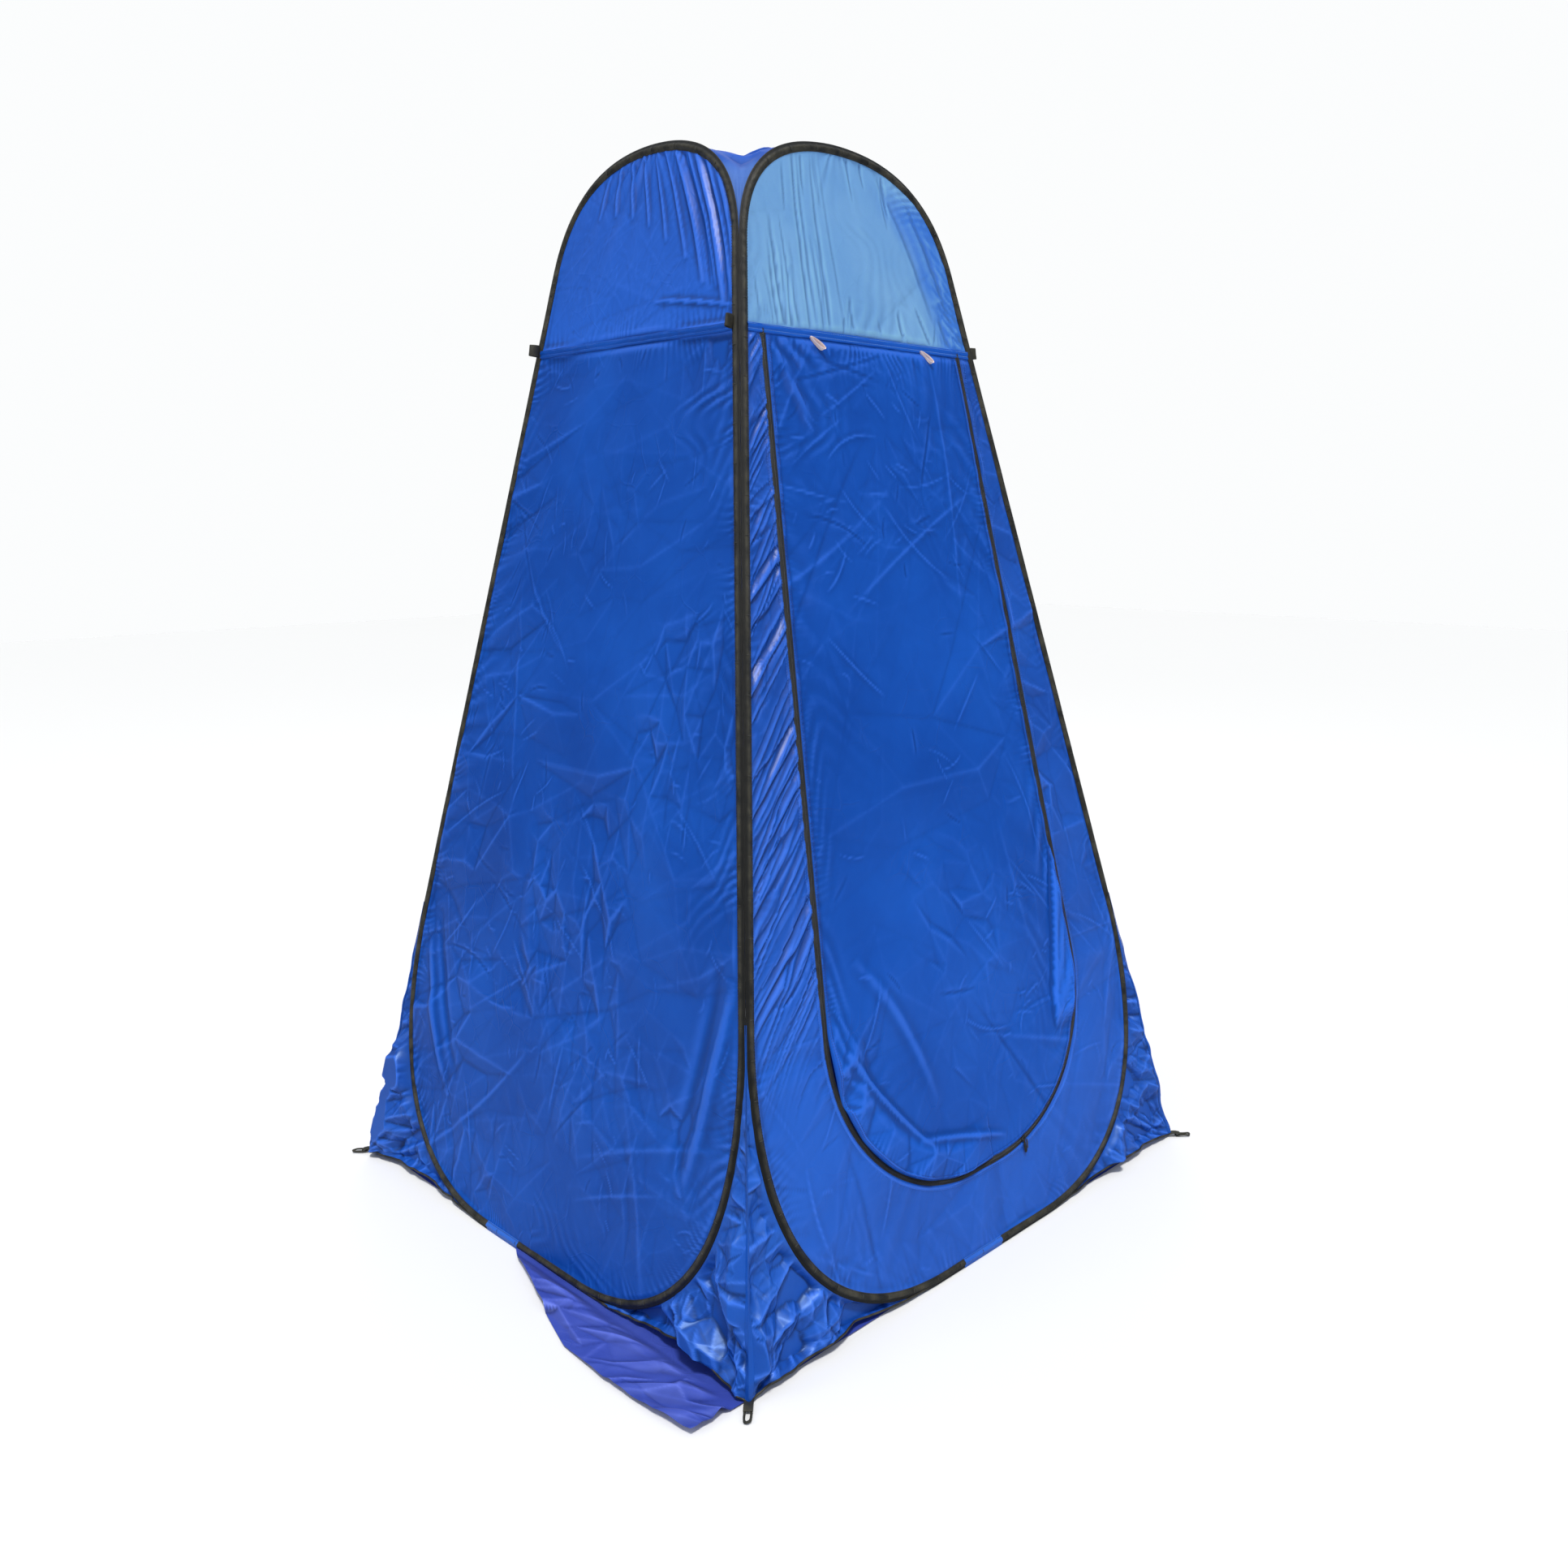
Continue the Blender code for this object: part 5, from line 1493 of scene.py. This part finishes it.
def groundsheet():
    low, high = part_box("groundsheet")
    cols, rows = ((260, 240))
    part_x = (np.linspace(0, 1, cols)[:, None] * np.ones((1, rows))) ** 1.45
    part_y = np.ones((cols, 1)) * np.linspace(0, 1, rows)[None, :]
    y = low.y + (high.y - low.y) * part_y
    left = np.interp(y, SHEET_EDGE[:, 0], SHEET_EDGE[:, 1])
    x = left + (high.x - left) * part_x
    y = y + 0.004 * noise(x * 8, y * 8, 203) * smooth(-0.59, -0.55, y)
    z = 0.0021 + 0.0005 * (1 + noise(x * 6, y * 6, 201))
    # rumpled where it lies outside
    outside = smooth(-0.610, -0.640, x) * (0.30 + 0.70 * smooth(-0.740, -0.690, x))
    rumple = (0.42 * crushed(x, y, 207, 0.055, 0.55, 2.6, SHEET_BOX)
              + 0.34 * crushed(x, y, 217, 0.028, 0.35, 2.4, SHEET_BOX))
    slant = x * 0.85 + y * 0.52
    rumple = rumple + (0.0052 * np.sin(slant * 105 + 3 * noise(x * 6, y * 6, 209))
                       * smooth(-0.30, -0.52, y))
    rumple = rumple + 0.0060
    rumple = 0.5 * (rumple + np.sqrt(rumple * rumple + 8e-6))       # never below zero
    z = z + outside * np.minimum(rumple, 0.024)
    # inside the tent it lies flat, with low creases
    inside = smooth(-0.54, -0.47, x) * smooth(0.38, 0.32, x) * smooth(0.52, 0.46, np.abs(y))
    gentle = (0.16 * crushed(x, y, 231, 0.110, 0.20, 1.6, SHEET_INNER_BOX)
              + 0.14 * crushed(x, y, 241, 0.048, 0.9, 2.0, SHEET_INNER_BOX))
    z = z + inside * np.clip(gentle + 0.0010, 0.0, 0.0042)
    # the groundsheet's ridges get a painted highlight and its valleys painted shade
    obj = build("groundsheet_cloth", np.stack([x, y, z], -1), face_grid(cols, rows, flip=True),
                VIOLET, np.stack([x, y], -1), wear=highpass(z) / 0.0008)
    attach(obj, "groundsheet")
    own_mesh(obj)
    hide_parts("groundsheet")


groundsheet()

# ------------------------------------------------------------------ small sewn, moulded pieces
# Rounded section of a band: across its width, through its thickness
BAND = np.array([(-1, -0.35), (-0.86, -1), (0, -0.86), (0.86, -1), (1, -0.35),
                 (1, 0.35), (0.86, 1), (0, 0.86), (-0.86, 1), (-1, 0.35)])
BAND_CAP = np.array([[0, 1, 8, 9], [1, 2, 7, 8], [2, 3, 6, 7], [3, 4, 5, 6]])


def unit(vectors):
    vectors = np.asarray(vectors, float)
    return vectors / np.maximum(np.linalg.norm(vectors, axis=-1, keepdims=True), 1e-12)


def ribbon(path, broad, width, thick, closed=False):
    """A flat band swept along a path in the world. broad is its width direction."""
    path = np.asarray(path, float)
    count = len(path)
    if closed:
        along = unit(np.roll(path, -1, 0) - np.roll(path, 1, 0))
    else:
        along = unit(np.gradient(path, axis=0))
    broad = np.broadcast_to(np.asarray(broad, float), path.shape)
    broad = unit(broad - (broad * along).sum(1, keepdims=True) * along)
    through = np.cross(along, broad)
    width = np.broadcast_to(np.asarray(width, float), (count,))
    points = (path[:, None] + broad[:, None] * (BAND[None, :, 0:1] * width[:, None, None] / 2)
              + through[:, None] * (BAND[None, :, 1:2] * thick / 2))
    faces = ring_faces(count, len(BAND), closed)
    if not closed:
        last = (count - 1) * len(BAND)
        faces = np.vstack([faces, BAND_CAP, BAND_CAP[:, ::-1] + last])
    uv = grid_uv(arc_length(path)[:, None], BAND[None, :, 0] * width[:, None] / 2)
    return points.reshape(-1, 3), faces, uv


def build_band(name, band, material):
    points, faces, uv = band
    return build(name, points, faces, material, uv)


def panel_vector(side, across, high, off):
    return unit(to_world(side, across, high, off) - to_world(side, 0, 0, 0))


def toggle_ribbon(name, across):
    """A teardrop loop of ribbon standing off the front wall."""
    reach, wide = 0.0310, 0.0080
    head = 1.6120
    lean_x, lean_y = 0.78, -0.62                        # the way the loop points
    angle = np.linspace(0.16, 2 * np.pi - 0.16, 44)
    along = reach * (1 - np.cos(angle)) / 2
    aside = wide / 2 * np.sin(angle) * np.sin(angle / 2) ** 0.6
    path = to_world("front", across + lean_x * along - lean_y * aside,
                    head + lean_y * along + lean_x * aside, 0.0032 + 0.0030 * (along / reach))
    width = 0.0046 + 0.0056 * (along / reach) ** 0.7
    band = ribbon(path, panel_vector("front", 0.10, 0.05, 1.0), width, 0.0008)
    mount(build_band(name + "_ribbon", band, RIBBON), name, name + "_loop")


def guy_loop(name, side, sign):
    """Webbing folded double, standing off the hoop."""
    angle = np.linspace(0.20, 2 * np.pi - 0.20, 36)
    out = 0.0040 + 0.0172 * (1 - np.cos(angle)) / 2
    open_by = 0.0034 * np.sin(angle) * np.sin(angle / 2) ** 0.5
    path = to_world(side, 0.2700 * sign + open_by + 0.004 * sign * (out / 0.021) ** 2,
                    1.6220 - 0.0025 * (out / 0.021), out)
    band = ribbon(path, panel_vector(side, 0, 1, 0), 0.0195 + 0.0020 * np.cos(angle / 2) ** 2,
                  0.0014)
    mount(build_band(name + "_webbing", band, WEB), side + "_panel", name)


def peg_loop(name, sign_x, sign_y, body):
    """A webbing loop on the ground at a base corner, and the tab that holds it."""
    up_world = np.array([0, 0, 1.0])
    out = np.array([sign_x, sign_y, 0]) / math.sqrt(2)
    aside = np.array([-out[1], out[0], 0])
    corner = np.array([sign_x * BASE_HALF, sign_y * BASE_HALF, 0.0])
    angle = np.linspace(0, 2 * np.pi, 56, endpoint=False)
    along = 0.0255 + 0.0150 * np.sign(np.cos(angle)) * np.abs(np.cos(angle)) ** 0.55
    beside = 0.0052 * np.sign(np.sin(angle)) * np.abs(np.sin(angle)) ** 0.8
    path = (corner + out * along[:, None] + aside * beside[:, None]
            + up_world * (0.0036 + 0.0006 * np.sin(angle * 3))[:, None])
    loop = ribbon(path, up_world, 0.0028, 0.0036, closed=True)
    mount(build_band(name + "_webbing", loop, WEB), body, name)
    hump = 0.0062 + 0.0022 * np.sin(np.linspace(0, np.pi, 14))
    path = corner + out * np.linspace(-0.004, 0.020, 14)[:, None] + up_world * hump[:, None]
    mount(build_band(name + "_tab", ribbon(path, aside, 0.0150, 0.0014), WEB), body)


# Where the slider sits on the zip's lower right curve, and its directions there
SLIDER_ANGLE = math.radians(14.0)
SLIDER_ALONG = np.array([math.cos(SLIDER_ANGLE), math.sin(SLIDER_ANGLE), 0.0])
SLIDER_OUT = np.array([math.sin(SLIDER_ANGLE), -math.cos(SLIDER_ANGLE), 0.0])
SLIDER_AT = ZIP_CENTRE + ZIP_RADIUS * SLIDER_OUT[:2]
# Stations in mm: place along the zip, half width, half thickness
SLIDER = ((-6.4, 1.5, 0.8), (-6.1, 2.7, 1.25), (-5.0, 3.4, 1.45), (-2.0, 3.7, 1.5),
          (1.0, 4.1, 1.5), (4.2, 4.45, 1.5), (5.8, 4.1, 1.35), (6.4, 2.6, 0.8))
PULL_TOP, PULL_OFF = 0.1646, 0.0053
TONGUE_LOW, STRIP_LOW = 0.1407, 0.1467


def slider_body():
    """Moulded body: superellipse rings along the zip."""
    ring, power = 16, 0.55
    angle = np.linspace(0, 2 * np.pi, ring, endpoint=False)[:, None]
    wide = np.sign(np.cos(angle)) * np.abs(np.cos(angle)) ** power
    thick = np.sign(np.sin(angle)) * np.abs(np.sin(angle)) ** power
    rings = []
    for along, half, half_thick in SLIDER:
        centre = np.array([*SLIDER_AT, 0.0026]) + SLIDER_ALONG * along / 1000
        points = (centre + wide * (half / 1000) * SLIDER_OUT
                  + thick * (half_thick / 1000) * np.array([0.0, 0.0, 1.0]))
        rings.append(to_world("front", *points.T))
    cap = np.array([[ring - k, k, k + 1, ring - k - 1] for k in range(1, 7)])
    faces = np.vstack([ring_faces(len(SLIDER), ring, False), cap,
                       cap[:, ::-1] + (len(SLIDER) - 1) * ring])
    mount(build("zip_slider_body", np.stack(rings), faces, PLASTIC), "zip_slider",
          "zip_slider")


def slider_bridge():
    """Small arch over the slider's body."""
    angle = np.linspace(0, np.pi, 18)
    along = 0.0042 * -np.cos(angle)
    path = to_world("front", SLIDER_AT[0] + SLIDER_ALONG[0] * along,
                    SLIDER_AT[1] + SLIDER_ALONG[1] * along, 0.0038 + 0.0018 * np.sin(angle) ** 0.7)
    band = ribbon(path, panel_vector("front", *SLIDER_OUT), 0.0022, 0.0011)
    mount(build_band("zip_slider_bridge", band, PLASTIC), "zip_slider")


def pull_tongue():
    """The hanging tongue, with a raised oval rim near its lower end."""
    part = np.linspace(0, 1, 30)
    half = np.interp(part, [0, 0.12, 0.25, 0.75, 0.9, 0.97, 1.0],
                     [0.0016, 0.0019, 0.0030, 0.0042, 0.0038, 0.0026, 0.0010])
    path = to_world("front", np.interp(part, [0, 1], [0.1112, 0.1117]),
                    np.linspace(PULL_TOP, TONGUE_LOW, 30), PULL_OFF)
    tongue = ribbon(path, panel_vector("front", 1, 0, 0), 2 * half, 0.0012)
    angle = np.linspace(0, 2 * np.pi, 26, endpoint=False)
    path = to_world("front", 0.1116 + 0.0026 * np.cos(angle),
                    PULL_TOP + (TONGUE_LOW - PULL_TOP) * (0.62 + 0.30 * np.sin(angle)), 0.0060)
    rim = ribbon(path, NORMAL["front"], 0.0006, 0.0007, closed=True)
    mount(build("zip_pull_tongue", *join([tongue[:2], rim[:2]]), PLASTIC), "zip_pull",
          "zip_pull_tab")


def pull_strip():
    """The narrow strip beside the tongue."""
    path = to_world("front", 0.1182 + 0.0003 * np.sin(np.linspace(0, 5, 24)),
                    np.linspace(PULL_TOP, STRIP_LOW, 24), PULL_OFF)
    half = np.interp(np.linspace(0, 1, 24), [0, 0.1, 0.9, 1.0], [0.0009, 0.0014, 0.0014, 0.0006])
    band = ribbon(path, panel_vector("front", 1, 0, 0), 2 * half, 0.0011)
    mount(build_band("zip_pull_cord_strip", band, WEB), "zip_pull",
          "zip_pull_strip")


toggle_ribbon("toggle_left", -0.1360)
toggle_ribbon("toggle_right", 0.1330)
guy_loop("guy_loop_front_left", "left", 1)
guy_loop("guy_loop_back_left", "left", -1)
guy_loop("guy_loop_back_right", "right", 1)
guy_loop("guy_loop_front_right", "right", -1)
peg_loop("peg_loop_front_left", -1, -1, "front_panel")
peg_loop("peg_loop_front_right", 1, -1, "right_panel")
peg_loop("peg_loop_back_left", -1, 1, "left_panel")
peg_loop("peg_loop_back_right", 1, 1, "back_panel")
slider_body()
slider_bridge()
pull_tongue()
pull_strip()


# ------------------------------------------------------------------ stage, light, camera
def studio_floor():
    """Pale paper that looks darker in reflections."""
    bpy.ops.mesh.primitive_plane_add(size=30, location=(0, 0, -0.001))
    floor = bpy.context.object
    floor.name = "studio_floor"
    material, add = new_material("studio_floor_paper")
    blotch = add("TexNoise", {"Scale": 2.0})["Fac"]
    grey = add("MapRange", {"Value": blotch, "To Min": 0.80, "To Max": 0.84})["Result"]
    paper = add("CombineColor", {"Red": grey, "Green": grey, "Blue": grey})["Color"]
    reflected = add("LightPath")["Is Glossy Ray"]
    base = mix_colour(add, reflected, paper, (0.26, 0.28, 0.30, 1))
    surface = add("BsdfPrincipled", {"Base Color": base, "Roughness": 0.9})["BSDF"]
    add("OutputMaterial", {"Surface": surface})
    floor.data.materials.append(material)


def studio_world():
    """A plain pale grey backdrop to the camera; a dimmer dome, brighter overhead, as a light."""
    world = bpy.data.worlds.new("studio_world")
    bpy.context.scene.world = world
    world.use_nodes = True
    tree = world.node_tree
    add = partial(add_node, tree)
    dome = tree.nodes["Background"]
    dome.inputs["Color"].default_value = (0.90, 0.95, 1.0, 1)
    height = add("SeparateXYZ", {0: add("TexCoord")["Generated"]})["Z"]
    strength = add("MapRange", {"Value": height, "From Min": 0.0, "From Max": 0.9,
                                "To Min": 0.10, "To Max": 0.62})["Result"]
    tree.links.new(strength, dome.inputs["Strength"])
    backdrop = add("Background", {"Color": (0.97, 0.98, 0.985, 1), "Strength": 1.0})["Background"]
    seen = add("LightPath")["Is Camera Ray"]
    both = add("MixShader", {"Fac": seen, 1: dome.outputs["Background"], 2: backdrop})["Shader"]
    tree.links.new(both, tree.nodes["World Output"].inputs["Surface"])


def add_light(name, kind, direction, location=(0, 0, 0), **settings):
    """A light shining along a direction."""
    light = bpy.data.lights.new(name, kind)
    for setting, value in settings.items():
        setattr(light, setting, value)
    obj = bpy.data.objects.new(name, light)
    obj.location = location
    obj.rotation_mode = "QUATERNION"
    obj.rotation_quaternion = direction.to_track_quat("-Z", "Y")
    bpy.context.scene.collection.objects.link(obj)


def area_light(name, location, target, size, power, colour):
    add_light(name, "AREA", Vector(target) - Vector(location), location, shape="RECTANGLE",
              size=size[0], size_y=size[1], energy=power, color=colour)


def studio_lights():
    add_light("key_light", "SUN", -Vector((-0.28, -0.36, 0.89)), energy=2.75,
              angle=math.radians(9.0), color=(1.0, 0.985, 0.96))
    area_light("side_box_front", location=(0.6, -5.9, 3.1), target=(-0.1, 0, 1.0),
               size=(2.2, 2.6), power=42, colour=(0.93, 0.96, 1.0))
    area_light("side_box_left", location=(-4.85, 1.25, 3.45), target=(0, 0, 1.2),
               size=(1.8, 2.4), power=32, colour=(0.93, 0.96, 1.0))
    area_light("rim_light", location=(3.0, 3.2, 5.0), target=(0, 0, 1.2),
               size=(2.0, 2.0), power=24, colour=(1.0, 0.98, 0.95))


CAMERA_AT = (-1.6972, -1.9123, 1.2934)
CAMERA_YAW, CAMERA_PITCH, CAMERA_ROLL = map(math.radians, (47.1146, -13.8097, -0.1443))


def camera():
    """Looks at the tent from its front left; yaw turns from +Y towards +X."""
    data = bpy.data.cameras.new("camera")
    obj = bpy.data.objects.new("camera", data)
    bpy.context.scene.collection.objects.link(obj)
    bpy.context.scene.camera = obj
    sin_yaw, cos_yaw = math.sin(CAMERA_YAW), math.cos(CAMERA_YAW)
    cos_pitch = math.cos(CAMERA_PITCH)
    ahead = Vector((sin_yaw * cos_pitch, cos_yaw * cos_pitch, math.sin(CAMERA_PITCH)))
    level = Vector((cos_yaw, -sin_yaw, 0))
    upright = level.cross(ahead)
    right = level * math.cos(CAMERA_ROLL) + upright * math.sin(CAMERA_ROLL)
    top = -level * math.sin(CAMERA_ROLL) + upright * math.cos(CAMERA_ROLL)
    rows = [(right[k], top[k], -ahead[k], CAMERA_AT[k]) for k in range(3)]
    obj.matrix_world = Matrix((*rows, (0, 0, 0, 1)))
    data.sensor_width = 36
    data.lens = 29.9208075
    data.clip_start = 0.02
    data.shift_x = -0.0679917184
    data.shift_y = 0.0351708075


studio_floor()
studio_world()
studio_lights()
camera()
bpy.context.scene.view_settings.view_transform = "Standard"
bpy.context.scene.view_settings.look = "None"

bpy.context.view_layer.update()
